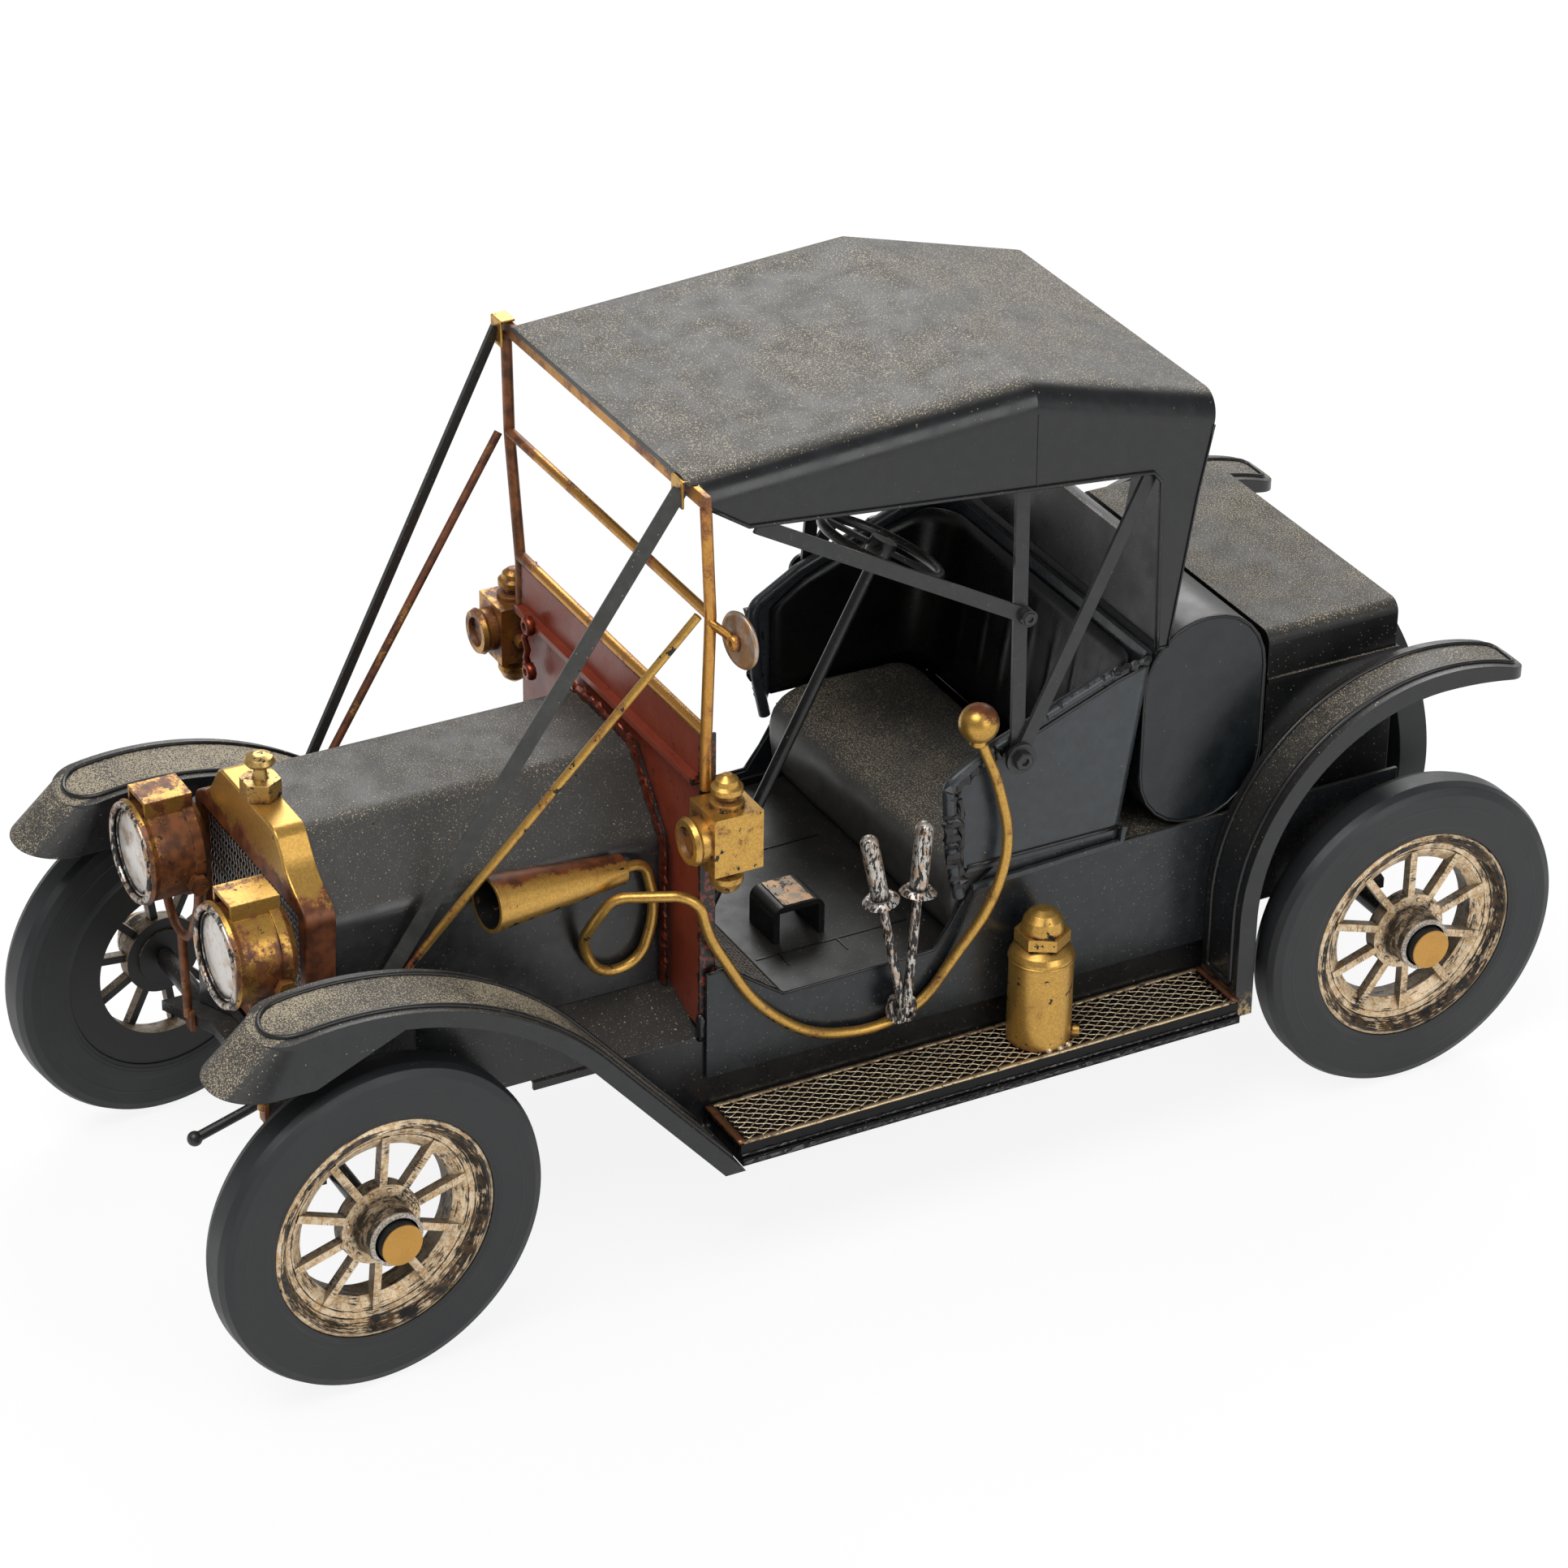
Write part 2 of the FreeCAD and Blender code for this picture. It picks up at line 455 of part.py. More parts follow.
def wheel(name, at, axis):
    """Hub, spokes and rim; the hub's blind bore turns on the axle's stub.

    Heights run outwards along the wheel's axis from the middle of the tyre.
    """
    body = doc.addObject("PartDesign::Body", name)
    hub = outline_sketch(body, name + "_hub_profile", "XZ_Plane", [
        ("stub_radius + running_clearance", "-hub_inner_reach"),
        ("hub_radius", "-hub_inner_reach"), ("hub_radius", "spoke_plane - spoke_depth / 2 - hub_flange"),
        ("hub_flange_radius", "spoke_plane - spoke_depth / 2 - hub_flange"),
        ("hub_flange_radius", "spoke_plane + spoke_depth / 2"),
        ("hub_radius", "spoke_plane + spoke_depth / 2"),
        ("hub_radius - 0.3", "tyre_width / 2 + hub_stand_out"),
        ("hub_cap_radius + 0.4", "tyre_width / 2 + hub_stand_out"),
        ("hub_cap_radius + 0.4", "tyre_width / 2 + hub_stand_out - hub_recess"),
        ("hub_cap_radius", "tyre_width / 2 + hub_stand_out - hub_recess"),
        ("hub_cap_radius", "tyre_width / 2 + hub_stand_out + hub_cap_length"),
        ("0", "tyre_width / 2 + hub_stand_out + hub_cap_length"),
        ("0", "hub_bore_depth - hub_inner_reach"),
        ("stub_radius + running_clearance", "hub_bore_depth - hub_inner_reach")])
    turn = body.newObject("PartDesign::Revolution", name + "_hub")
    turn.Profile = hub
    turn.ReferenceAxis = (hub, ["V_Axis"])
    turn.Angle = 360
    doc.recompute()
    spoke = outline_sketch(body, name + "_spoke_outline", "XZ_Plane", [
        ("hub_radius", "spoke_plane - spoke_depth / 2"),
        ("rim_inner_radius + 0.5", "spoke_plane - spoke_depth / 2"),
        ("rim_inner_radius + 0.5", "spoke_plane + spoke_depth / 2"),
        ("hub_radius", "spoke_plane + spoke_depth / 2")])
    pad = body.newObject("PartDesign::Pad", name + "_spoke")
    pad.Profile = spoke
    pad.setExpression("Length", bound("spoke_width"))
    pad.Midplane = True
    doc.recompute()
    ring = body.newObject("PartDesign::PolarPattern", name + "_spokes")
    ring.Originals = [pad]
    ring.Axis = (hub, ["V_Axis"])
    ring.Angle = 360
    ring.setExpression("Occurrences", bound("spoke_count"))
    body.Tip = ring
    doc.recompute()
    rim = outline_sketch(body, name + "_rim_profile", "XZ_Plane", [
        ("felloe_bore_radius", "-rim_width / 2"), ("rim_radius", "-rim_width / 2"),
        ("rim_radius", "rim_width / 2"), ("rim_radius - rim_bead * 2", "tyre_width / 2 + rim_bead / 2"),
        ("rim_inner_radius + 2.2", "rim_width / 2 - 0.8"), ("rim_inner_radius + 1.6", "rim_width / 2 - 1.5"),
        ("rim_inner_radius", "spoke_plane + spoke_depth / 2 - 0.3"),
        ("felloe_bore_radius", "spoke_plane - spoke_depth / 2 + 0.3")])
    hoop = body.newObject("PartDesign::Revolution", name + "_rim")
    hoop.Profile = rim
    hoop.ReferenceAxis = (rim, ["V_Axis"])
    hoop.Angle = 360
    body.Placement = Placement(Vector(), Rotation(Z_AXIS, axis))
    for letter, expression in zip("xyz", at):
        body.setExpression("Placement.Base." + letter, bound(expression))
    doc.recompute()
    return node(name, body)


for end, sign in ENDS:
    for side, hand in SIDES:
        centre = ("%d * wheel_track / 2" % hand, "%d * wheel_base / 2" % sign, "tyre_radius")
        wheel("wheel_%s_%s" % (end, side), centre, wheel_axis(end, side))
        tyre("tyre_%s_%s" % (end, side), centre, "tyre_radius", "tyre_width", wheel_axis(end, side))


# ---------------------------------------------------------------------------
# Lower body: floor with toe board, sills with their ledge, side panels, shelf
# ---------------------------------------------------------------------------
def floor_pan():
    """A sheet that is the floor, turned up in front as the toe board."""
    top = "rail_top + seat_gap + sheet_thickness"
    corners = [("-cockpit_front + 0.6", "%s + floor_rise" % top), ("-toe_board_foot", top), ("floor_rear", top),
               ("floor_rear", "rail_top + seat_gap"), ("-toe_board_foot - 0.3", "rail_top + seat_gap"),
               ("-cockpit_front + 0.6", "%s + floor_rise - sheet_thickness * 1.25" % top)]
    return node("floor_pan", padded("floor_pan", "YZ_Plane", corners, "2 * (sill_outer - sheet_thickness - seat_gap)"))


def sill(side, sign):
    """The sheet under the door opening, with a sloping ledge up to the bonnet."""
    outer, inner = "sill_outer", "sill_outer - sheet_thickness"
    wall = block("sill_wall_" + side,
                 (("%s" if sign > 0 else "-(%s)") % (inner if sign > 0 else outer),
                  ("%s" if sign > 0 else "-(%s)") % (outer if sign > 0 else inner)),
                 ("-cockpit_front", "rear_fender_foot + sill_overrun"), ("sill_bottom", "cockpit_sill - 0.6"))
    corners = [("%d * (%s)" % (sign, across), up) for across, up in (
        (outer, "sill_bottom"), (outer, "ledge_height"), ("bonnet_half_width + seat_gap", "ledge_top"),
        ("bonnet_half_width + seat_gap", "ledge_top - sheet_thickness"),
        (inner, "ledge_height - sheet_thickness * 0.6"), (inner, "sill_bottom"))]
    ledge = padded("sill_ledge_" + side, "XZ_Plane", corners, "ledge_front - cockpit_front - firewall_sheet",
                   "(ledge_front + cockpit_front + firewall_sheet) / 2")
    apron = block("sill_apron_" + side,
                  (("%s" if sign > 0 else "-(%s)") % (inner if sign > 0 else outer),
                   ("%s" if sign > 0 else "-(%s)") % (outer if sign > 0 else inner)),
                  ("-cockpit_front - firewall_sheet", "-cockpit_front"), ("sill_bottom", "ledge_height"))
    # in front the sheet ends behind the fender's slope, with a small lip under the ledge
    rise = "(ledge_height - sill_bottom - sill_lip)"
    clear = "%s - 2" % FENDER_FOOT
    wedge = padded("sill_wedge_" + side, "YZ_Plane", [
        (clear + " + sill_bottom / tan(front_slope_angle)", "0"),
        ("%s - %s / tan(front_slope_angle)" % (clear, rise), "ledge_height - sill_lip"),
        ("-ledge_front - 1", "ledge_height - sill_lip"), ("-ledge_front - 1", "0")],
        "2", "%d * (sill_outer - sheet_thickness / 2)" % sign)
    return node("sill_" + side, cut("sill_" + side, fuse("sill_sheet_" + side, [wall, ledge, apron]), wedge))


def body_side(side, sign):
    """The outer side panel with its cut-down entry and the rear quarter."""
    corners = [("-cockpit_front", "panel_bottom"), ("-cockpit_front", "panel_front_top"),
               ("-cockpit_front + 3.6", "panel_front_top + 0.2"), ("-entry_front", "cockpit_sill"),
               ("entry_rear", "cockpit_sill + 0.4"), ("seat_front + 3.7", "waist_height - 2"),
               ("seat_front + 9", "seat_panel_bottom - seat_gap"),
               ("seat_panel_foot", "seat_panel_bottom - seat_gap"), ("seat_panel_foot + 0.6", "waist_height"),
               ("trunk_rear", "waist_height"), ("trunk_rear", "quarter_bottom"),
               ("body_rear", "quarter_bottom"), ("body_rear - 4", "panel_bottom")]
    body = padded("body_side_" + side, "YZ_Plane", corners, "sheet_thickness",
                  "%d * (body_half_width - sheet_thickness / 2)" % sign)
    return node("body_side_" + side, body)


def rear_shelf():
    """The shelf behind the seat that carries the tank."""
    shelf = block("rear_shelf", ("-sill_outer", "sill_outer"), ("shelf_front", "trunk_front - seat_gap"),
                  ("tank_centre_height - tank_height / 2 - seat_gap - sheet_thickness",
                   "tank_centre_height - tank_height / 2 - seat_gap"))
    return node("rear_shelf", shelf)


floor_pan()
rear_shelf()
for side, sign in SIDES:
    sill(side, sign)
    body_side(side, sign)


# ---------------------------------------------------------------------------
# Bonnet, radiator, firewall and windscreen
# ---------------------------------------------------------------------------
def bonnet_form(name, inset, skirt, spare):
    """The bonnet's outline, drawn in by a sheet's thickness, as a solid."""
    side, top = "bonnet_half_width - %s" % inset, "bonnet_height - %s" % inset
    flat, shoulder = "bonnet_flat_half - %s * 0.4" % inset, "bonnet_shoulder - %s * 0.4" % inset
    outline = [("-(%s)" % side, skirt), ("-(%s)" % side, shoulder), ("-(%s)" % flat, top), (flat, top),
               (side, shoulder), (side, skirt)]
    length = "radiator_front - radiator_depth - cockpit_front - firewall_sheet - 2 * seat_gap + %s" % spare
    middle = "(radiator_front - radiator_depth + cockpit_front + firewall_sheet) / 2"
    body = padded(name, "XZ_Plane", outline, length, middle)
    rounded(body, name + "_folds", "bonnet_corner_radius - %s" % inset,
            lambda edge: along(edge, Y_AXIS) and edge.Vertexes[0].Point.z > size.bonnet_bottom)
    return body


def bonnet():
    """A folded sheet cover: flat top, sloping shoulders, upright sides."""
    outer = bonnet_form("bonnet_outside", "0", "rail_top + seat_gap", "0")
    inner = bonnet_form("bonnet_inside", "sheet_thickness", "rail_top - sheet_thickness", "2 * sheet_thickness")
    return node("bonnet", cut("bonnet", outer, inner))


def radiator_shell():
    """The brass surround: a flat top, flared shoulders and upright sides, cut for the core."""
    half = [("radiator_half_width", "rail_top + seat_gap"), ("radiator_half_width", "radiator_shoulder - 11"),
            ("radiator_shoulder_half", "radiator_shoulder"), ("radiator_waist_half", "radiator_waist"),
            ("radiator_flat_half", "radiator_height")]
    outer = half + [("-" + across, up) for across, up in reversed(half)]
    body = padded("radiator_surround", "XZ_Plane", outer, "radiator_depth", "radiator_front - radiator_depth / 2")

    def at_waist(edge):
        return abs(edge.CenterOfMass.z - size.radiator_waist) < 1e-3

    rounded(body, "radiator_flares", "radiator_flare", lambda edge: along(edge, Y_AXIS) and at_waist(edge))
    rounded(body, "radiator_folds", "radiator_fold",
            lambda edge: along(edge, Y_AXIS) and edge.Vertexes[0].Point.z > size.radiator_shoulder - 1
            and not size.radiator_flat_half + 1 < abs(edge.CenterOfMass.x) < size.radiator_shoulder_half - 1)
    front = -size.radiator_front
    rounded(body, "radiator_front_edge", "radiator_edge",
            lambda edge: all(abs(corner.Point.y - front) < 1e-6 for corner in edge.Vertexes)
            and edge.CenterOfMass.z > size.rail_top + 1)
    window = block("radiator_window", ("-radiator_opening_half", "radiator_opening_half"),
                   ("-radiator_front - 1", "-(radiator_front - radiator_depth) + 1"),
                   ("radiator_opening_bottom", "radiator_opening_top"))
    return node("radiator_shell", cut("radiator_shell", body, window))


def radiator_core():
    """The core behind the mesh, a little behind the surround's front."""
    back, front = "-(radiator_front - radiator_depth)", "-(radiator_front - core_recess)"
    core = block("radiator_core", ("-radiator_opening_half + seat_gap", "radiator_opening_half - seat_gap"),
                 (front, back), ("radiator_opening_bottom + seat_gap", "radiator_opening_top - seat_gap"))
    return node("radiator_core", core)


def radiator_cap():
    """A hexagon nut with a necked knob, standing on the flat of the shell."""
    base = "radiator_height + seat_gap"
    place = ("0", "-(radiator_front - radiator_depth / 2)", base)
    nut = primitive("Prism", "cap_nut", at=place, Circumradius="filler_nut_radius", Height="filler_nut_height")
    nut.Polygon = 6
    nut_top = "filler_nut_height"
    disc_low = "filler_nut_height + filler_neck_height"
    knob = turned("cap_knob", [
        ("0", nut_top), ("filler_knob_radius * 0.5", nut_top), ("filler_knob_radius * 0.35", disc_low),
        ("filler_knob_radius - 0.5", disc_low), ("filler_knob_radius", disc_low + " + 0.7"),
        ("filler_knob_radius - 0.5", disc_low + " + 1.5"), ("filler_knob_radius * 0.4", disc_low + " + 1.9"),
        ("0", disc_low + " + 1.9")], place)
    return node("radiator_cap", fuse("radiator_cap", [nut, knob]))


def starting_crank():
    """A bent wire handle out of the front plate of the frame."""
    axle_y, under = -size.wheel_base / 2, size.tyre_radius - size.axle_radius - size.seat_gap
    points = [(0, axle_y, under), (0, axle_y, under - 2.0), (0, axle_y - 4.0, under - 3.3),
              (0, axle_y - size.crank_reach, under - 6.0)]
    grip = Part.makeSphere(size.crank_wire * 1.5, Vector(*points[-1]))
    return node("starting_crank", feature("starting_crank", union([round_wire(points, size.crank_wire, 2.0), grip])))


def firewall():
    """The upright sheet between bonnet and cockpit, with a folded ledge."""
    sheet_plate = block("firewall_plate", ("-firewall_half_width", "firewall_half_width"),
                        ("-cockpit_front - firewall_sheet", "-cockpit_front - seat_gap"),
                        ("rail_top + seat_gap", "firewall_height"))
    ledge = block("firewall_ledge", ("-firewall_half_width", "firewall_half_width"),
                  ("-cockpit_front - firewall_sheet - 1.6", "-cockpit_front - firewall_sheet"),
                  ("firewall_ledge_height - 0.6", "firewall_ledge_height + 0.6"))
    flanges = []
    for side, sign in SIDES:
        inner, outer = "sill_outer - sheet_thickness", "firewall_half_width"
        across = (inner, outer) if sign > 0 else ("-(%s)" % outer, "-(%s)" % inner)
        flanges.append(block("firewall_flange_" + side, across, ("-cockpit_front - seat_gap", "firewall_flange - cockpit_front"),
                             ("cockpit_sill - 0.5", "firewall_height")))
    return node("firewall", fuse("firewall", [sheet_plate, ledge] + flanges))


def windscreen_frame():
    """Two wire posts cranked outwards, two cross rails and a flat top rail."""
    plane = -(size.cockpit_front + size.firewall_sheet / 2)
    foot, bend, top = size.firewall_half_width + size.seat_gap + size.screen_wire, size.screen_cross_half, size.screen_top_half
    pieces = []
    for side, sign in SIDES:
        pieces.append(round_wire([(sign * foot, plane, size.screen_foot), (sign * foot, plane, size.firewall_height),
                                  (sign * bend, plane - 0.6, size.screen_cross_height),
                                  (sign * top, plane - 1.2, SCREEN_TOP + 0.2)], size.screen_wire, 4.0))
    low = size.firewall_height + size.seat_gap + size.screen_wire
    pieces.append(round_wire([(-foot, plane, low), (foot, plane, low)], size.screen_wire))
    pieces.append(round_wire([(-bend, plane - 0.6, size.screen_cross_height), (bend, plane - 0.6, size.screen_cross_height)],
                             size.screen_wire * 0.9))
    rail_y = plane - 1.2
    half = size.screen_top_half + size.screen_wire
    pieces.append(Part.makeBox(2 * half, size.screen_rail_thickness, size.screen_rail_height,
                               Vector(-half, rail_y - size.screen_rail_thickness / 2, SCREEN_TOP)))
    return node("windscreen_frame", feature("windscreen_frame", union(pieces)))


bonnet()
radiator_shell()
radiator_core()
radiator_cap()
starting_crank()
firewall()
windscreen_frame()


# ---------------------------------------------------------------------------
# Lamps, horn, mirror, stays and straps
# ---------------------------------------------------------------------------
def headlamp(side, sign):
    """A drum lamp with a hooded vent on top, on a forked wire stem."""
    centre = ("%d * headlamp_spacing / 2" % sign, "-headlamp_front", "headlamp_height")
    drum = turned("headlamp_drum_" + side, [
        ("0", "-headlamp_lens_recess"), ("headlamp_radius - headlamp_bead", "-headlamp_lens_recess"),
        ("headlamp_radius - headlamp_bead * 0.6", "0"), ("headlamp_radius", "0"),
        ("headlamp_radius + headlamp_bead * 0.5", "-headlamp_bead"), ("headlamp_radius", "-headlamp_bead * 2"),
        ("headlamp_radius", "-headlamp_band"), ("headlamp_radius + headlamp_bead * 0.4", "-headlamp_band"),
        ("headlamp_radius + headlamp_bead * 0.4", "-headlamp_depth + 1.6"),
        ("headlamp_radius - 1.6", "-headlamp_depth"),
        ("0", "-headlamp_depth")], centre, -Y_AXIS)
    top = "headlamp_height + headlamp_radius"
    hood_half, fold = "headlamp_hood_width / 2", "sheet_thickness"
    hood_rear = "-headlamp_front + 1.5 + headlamp_hood_length"
    cover = block("headlamp_cover_" + side, (centre[0] + " - " + hood_half, centre[0] + " + " + hood_half),
                  ("-headlamp_front + 1.5", hood_rear), (top + " - 1.4", top + " + headlamp_hood_height"))
    vent = block("headlamp_vent_" + side,
                 ("%s - %s + %s" % (centre[0], hood_half, fold), "%s + %s - %s" % (centre[0], hood_half, fold)),
                 ("-headlamp_front", "%s - %s" % (hood_rear, fold)),
                 (top + " - 2", "%s + headlamp_hood_height - %s" % (top, fold)))
    hood = cut("headlamp_hood_" + side, cover, vent)
    x, y = sign * size.headlamp_spacing / 2, -size.headlamp_front + size.headlamp_depth * 0.72
    ears, reach = size.headlamp_height - 3.4, size.headlamp_radius + size.fork_wire * 0.8
    joint = size.headlamp_height - size.headlamp_radius - size.fork_drop
    fork = round_wire([(x - reach, y, ears), (x - reach * 0.9, y, ears - 5), (x - reach * 0.4, y, joint + 0.6),
                       (x + reach * 0.4, y, joint + 0.6), (x + reach * 0.9, y, ears - 5), (x + reach, y, ears)],
                      size.fork_wire, 6.0)
    # the stem ends in a foot plate before the spring, where its leaves fall away to the side
    stem_x = sign * size.stem_spacing / 2
    fall = size.spring_arch / (size.spring_half_length - size.spring_seat_half)
    leaf = size.spring_crest - fall * (size.stem_spacing / 2 - size.spring_seat_half)
    plate_y = -(size.rail_reach + 2 * size.seat_gap + size.spring_width + size.fork_wire)
    plate = Part.makeBox(size.fork_wire * 3, size.fork_wire, 4.0,
                         Vector(stem_x - size.fork_wire * 1.5, plate_y, leaf - 2.6))
    stem = round_wire([(x, y, joint + 0.6), (stem_x, plate_y, leaf)], size.fork_wire)
    ears_pair = []
    for turn in (-1, 1):
        nut = extruded([(size.lamp_nut_radius * math.cos(k * math.pi / 3), size.lamp_nut_radius * math.sin(k * math.pi / 3))
                        for k in range(6)], 0, 1.6)
        nut.translate(Vector(x + turn * reach - 0.8, y, ears))
        ears_pair.append(nut)
    mount = feature("headlamp_fork_" + side, union([fork, stem, plate] + ears_pair))
    return node("headlamp_" + side, fuse("headlamp_" + side, [drum, hood, mount]))


def side_lamp(side, sign):
    """A carriage lamp: square body, round lens in front, turned chimney and base."""
    x = "%d * side_lamp_spacing / 2" % sign
    low, high = "side_lamp_centre - side_lamp_height / 2", "side_lamp_centre + side_lamp_height / 2"
    half = "side_lamp_width / 2"
    case = block("side_lamp_case_" + side, (x + " - " + half, x + " + " + half),
                 ("side_lamp_y - " + half, "side_lamp_y + " + half), (low, high))

    def profile(shares):
        return [("side_lamp_width * %s" % across, "side_lamp_height * %s" % up) for across, up in shares]

    chimney = turned("side_lamp_chimney_" + side, profile([
        (0, 0), (0.32, 0), (0.32, 0.08), (0.19, 0.12), (0.19, 0.19), (0.3, 0.23), (0.3, 0.32),
        (0.23, 0.36), (0.21, 0.44), (0.09, 0.52), (0, 0.52)]), (x, "side_lamp_y", high))
    base = turned("side_lamp_base_" + side, profile([
        (0, 0), (0.27, 0), (0.27, -0.11), (0.2, -0.15), (0.32, -0.22), (0.32, -0.31),
        (0.23, -0.46), (0.09, -0.55), (0, -0.55)]), (x, "side_lamp_y", low))
    lens = turned("side_lamp_lens_" + side, profile([
        (0, 0), (0.43, 0), (0.43, 0.15), (0.47, 0.2), (0.43, 0.28), (0.3, 0.28), (0.27, 0.2), (0, 0.2)]),
        (x, "side_lamp_y - " + half, "side_lamp_centre"), -Y_AXIS)
    inner = "firewall_half_width + seat_gap"
    bracket = rod("side_lamp_bracket_" + side, "side_lamp_bracket",
                  "side_lamp_spacing / 2 - side_lamp_width / 2 - (%s)" % inner,
                  ("%d * (%s)" % (sign, inner), "-cockpit_front - firewall_sheet / 2", "side_lamp_centre - 1"),
                  X_AXIS * sign)
    return node("side_lamp_" + side, fuse("side_lamp_" + side, [case, chimney, base, lens, bracket]))


def horn():
    """A straight trumpet along the bonnet's left side, open at its mouth."""
    outside = Part.makeCone(size.horn_mouth_radius, size.horn_tail_radius, HORN_RUN.Length, HORN_MOUTH, HORN_RUN)
    depth = HORN_RUN.Length / 2
    slope = (size.horn_mouth_radius - size.horn_tail_radius) / HORN_RUN.Length
    hollow = Part.makeCone(size.horn_mouth_radius - size.sheet_thickness,
                           size.horn_mouth_radius - size.sheet_thickness - slope * depth, depth,
                           HORN_MOUTH, HORN_RUN)
    return node("horn", feature("horn", outside.cut(hollow)))


def horn_tube():
    """The brass tube: a curl under the horn, round the firewall, along the body, up to the bulb."""
    outlet = HORN_RUN / HORN_RUN.Length
    curl, y, z = size.horn_curl_radius, HORN_TAIL.y, HORN_TAIL.z - size.horn_curl_drop
    close, far = size.bonnet_half_width + size.tube_wire + 0.4, size.horn_run_x
    body_x = size.body_half_width + size.tube_wire + 0.3
    wall_y, arm_x = -size.cockpit_front, size.seat_outer + size.tube_wire * 2.5
    points = [HORN_TAIL + outlet * size.seat_gap, HORN_TAIL + outlet * (size.horn_tail_radius + 2),
              (close + 0.4, y + curl, z + curl * 0.4), (close, y + curl * 0.6, z - curl),
              (close, y - curl * 0.5, z - curl * 1.1), (close + 0.6, y - curl, z),
              (far - 1.6, y - curl * 0.85, z + curl * 0.9), (far, y - curl * 0.5, HORN_TAIL.z - 2.2),
              (body_x + 0.6, wall_y - 2.6, HORN_TAIL.z - 1.4), (body_x, wall_y - 0.6, HORN_TAIL.z - 10),
              (body_x, -size.entry_front - 6, size.cockpit_sill), (body_x, -size.entry_front + 5, size.lever_pivot_z - 2),
              (body_x, -2, size.lever_pivot_z - 4.2), (body_x, 7, size.lever_pivot_z - 1.6),
              (body_x, size.seat_front - 0.5, size.cockpit_sill - 2), (arm_x, size.seat_front + 6.5, size.bulb_height - 36.2),
              (arm_x + 0.2, size.seat_front + 9.5, size.bulb_height - 24.2), (arm_x, size.bulb_y + 3.6, size.bulb_height - 11.2),
              (size.bulb_x, size.bulb_y + 0.8, size.bulb_height - size.bulb_radius - 0.9)]
    return node("horn_tube", feature("horn_tube", round_wire(points, size.tube_wire, 40.0)))


def horn_bulb():
    """The squeeze bulb with its collar on the end of the tube."""
    centre = Vector(size.bulb_x, size.bulb_y, size.bulb_height)
    ball = Part.makeSphere(size.bulb_radius, centre)
    collar = Part.makeCylinder(size.tube_wire + 0.5, 1.6, centre - Z_AXIS * (size.bulb_radius + 0.6))
    return node("horn_bulb", feature("horn_bulb", union([ball, collar])))


def rear_view_mirror():
    """A round mirror behind the left post, on a bent arm."""
    plane = -(size.cockpit_front + size.firewall_sheet / 2) - 0.6
    centre = Vector(size.screen_cross_half + 3.4, plane + 3.6, size.screen_cross_height - 3.8)
    gaze = Vector(0.35, 1, 0.05).normalize()
    disc = Part.makeCylinder(size.mirror_radius, size.mirror_thickness, centre, gaze)
    joint = Vector(size.screen_cross_half, plane + 1.5 + size.seat_gap, size.screen_cross_height + 0.8)
    arm = strip(joint, centre + gaze * 0.2, size.mirror_arm, size.mirror_arm * 0.6, Vector(0.2, 1, 0))
    return node("rear_view_mirror", feature("rear_view_mirror", union([disc, arm])))


def stay_rods():
    """A thin rod each side from the cross rail down to the bonnet's side."""
    rods = []
    plane = -(size.cockpit_front + size.firewall_sheet / 2) - 0.6
    for side, sign in SIDES:
        top = (sign * (size.screen_cross_half - 0.2), plane - size.screen_wire - size.stay_radius - 0.4,
               size.screen_cross_height + 0.4)
        knee = (sign * (size.bonnet_half_width + 1.9), 0.7 - size.stay_foot_forward, size.stay_foot_height + 2.4)
        foot = (sign * (size.bonnet_half_width + size.stay_radius + size.seat_gap), -size.stay_foot_forward,
                size.stay_foot_height)
        rods.append(round_wire([top, knee, foot], size.stay_radius, 2.0))
    return node("stay_rods", feature("stay_rods", Part.makeCompound(rods)))


def straps():
    """A flat strap each side from the top rail down to the bonnet's side."""
    pieces = []
    rail_front = -(size.cockpit_front + size.firewall_sheet / 2) - 1.2 - size.screen_rail_thickness / 2
    for sign, top_x in ((1, size.strap_left_x), (-1, size.strap_right_x)):
        top = (sign * top_x, rail_front - size.strap_thickness / 2 - 1.1, SCREEN_TOP + 1.6)
        foot = (sign * (size.bonnet_half_width + size.strap_thickness / 2 + 0.9), -size.strap_foot_forward,
                size.strap_foot_height)
        pieces.append(strip(top, foot, size.strap_width, size.strap_thickness, Vector(sign, -0.55, 0)))
    return node("straps", feature("straps", Part.makeCompound(pieces)))


HORN_MOUTH = Vector(size.horn_mouth_x, -size.horn_mouth_forward, size.horn_mouth_height)
HORN_TAIL = Vector(size.horn_tail_x, -size.horn_tail_forward, size.horn_tail_height)
HORN_RUN = HORN_TAIL - HORN_MOUTH
for side, sign in SIDES:
    headlamp(side, sign)
    side_lamp(side, sign)
horn()
horn_tube()
horn_bulb()
rear_view_mirror()
stay_rods()
straps()


# ---------------------------------------------------------------------------
# Seat, tank, trunk and spare wheel
# ---------------------------------------------------------------------------
def seat_bench():
    """The seat box with its cushion, in one folded sheet with a rounded front edge."""
    floor = "rail_top + 2 * seat_gap + sheet_thickness"
    corners = [("seat_front + 3.5", floor), ("seat_front", "seat_height - 3"), ("seat_front + 3", "seat_height"),
               ("seat_rear", "seat_height - 0.6"), ("seat_rear", floor)]
    body = padded("seat_bench", "YZ_Plane", corners, "2 * (sill_outer - sheet_thickness - seat_gap)")
    rounded(body, "bench_corners", "bench_corner_radius",
            lambda edge: along(edge, Z_AXIS) and edge.CenterOfMass.y > size.seat_rear - 1)
    return node("seat_bench", body)


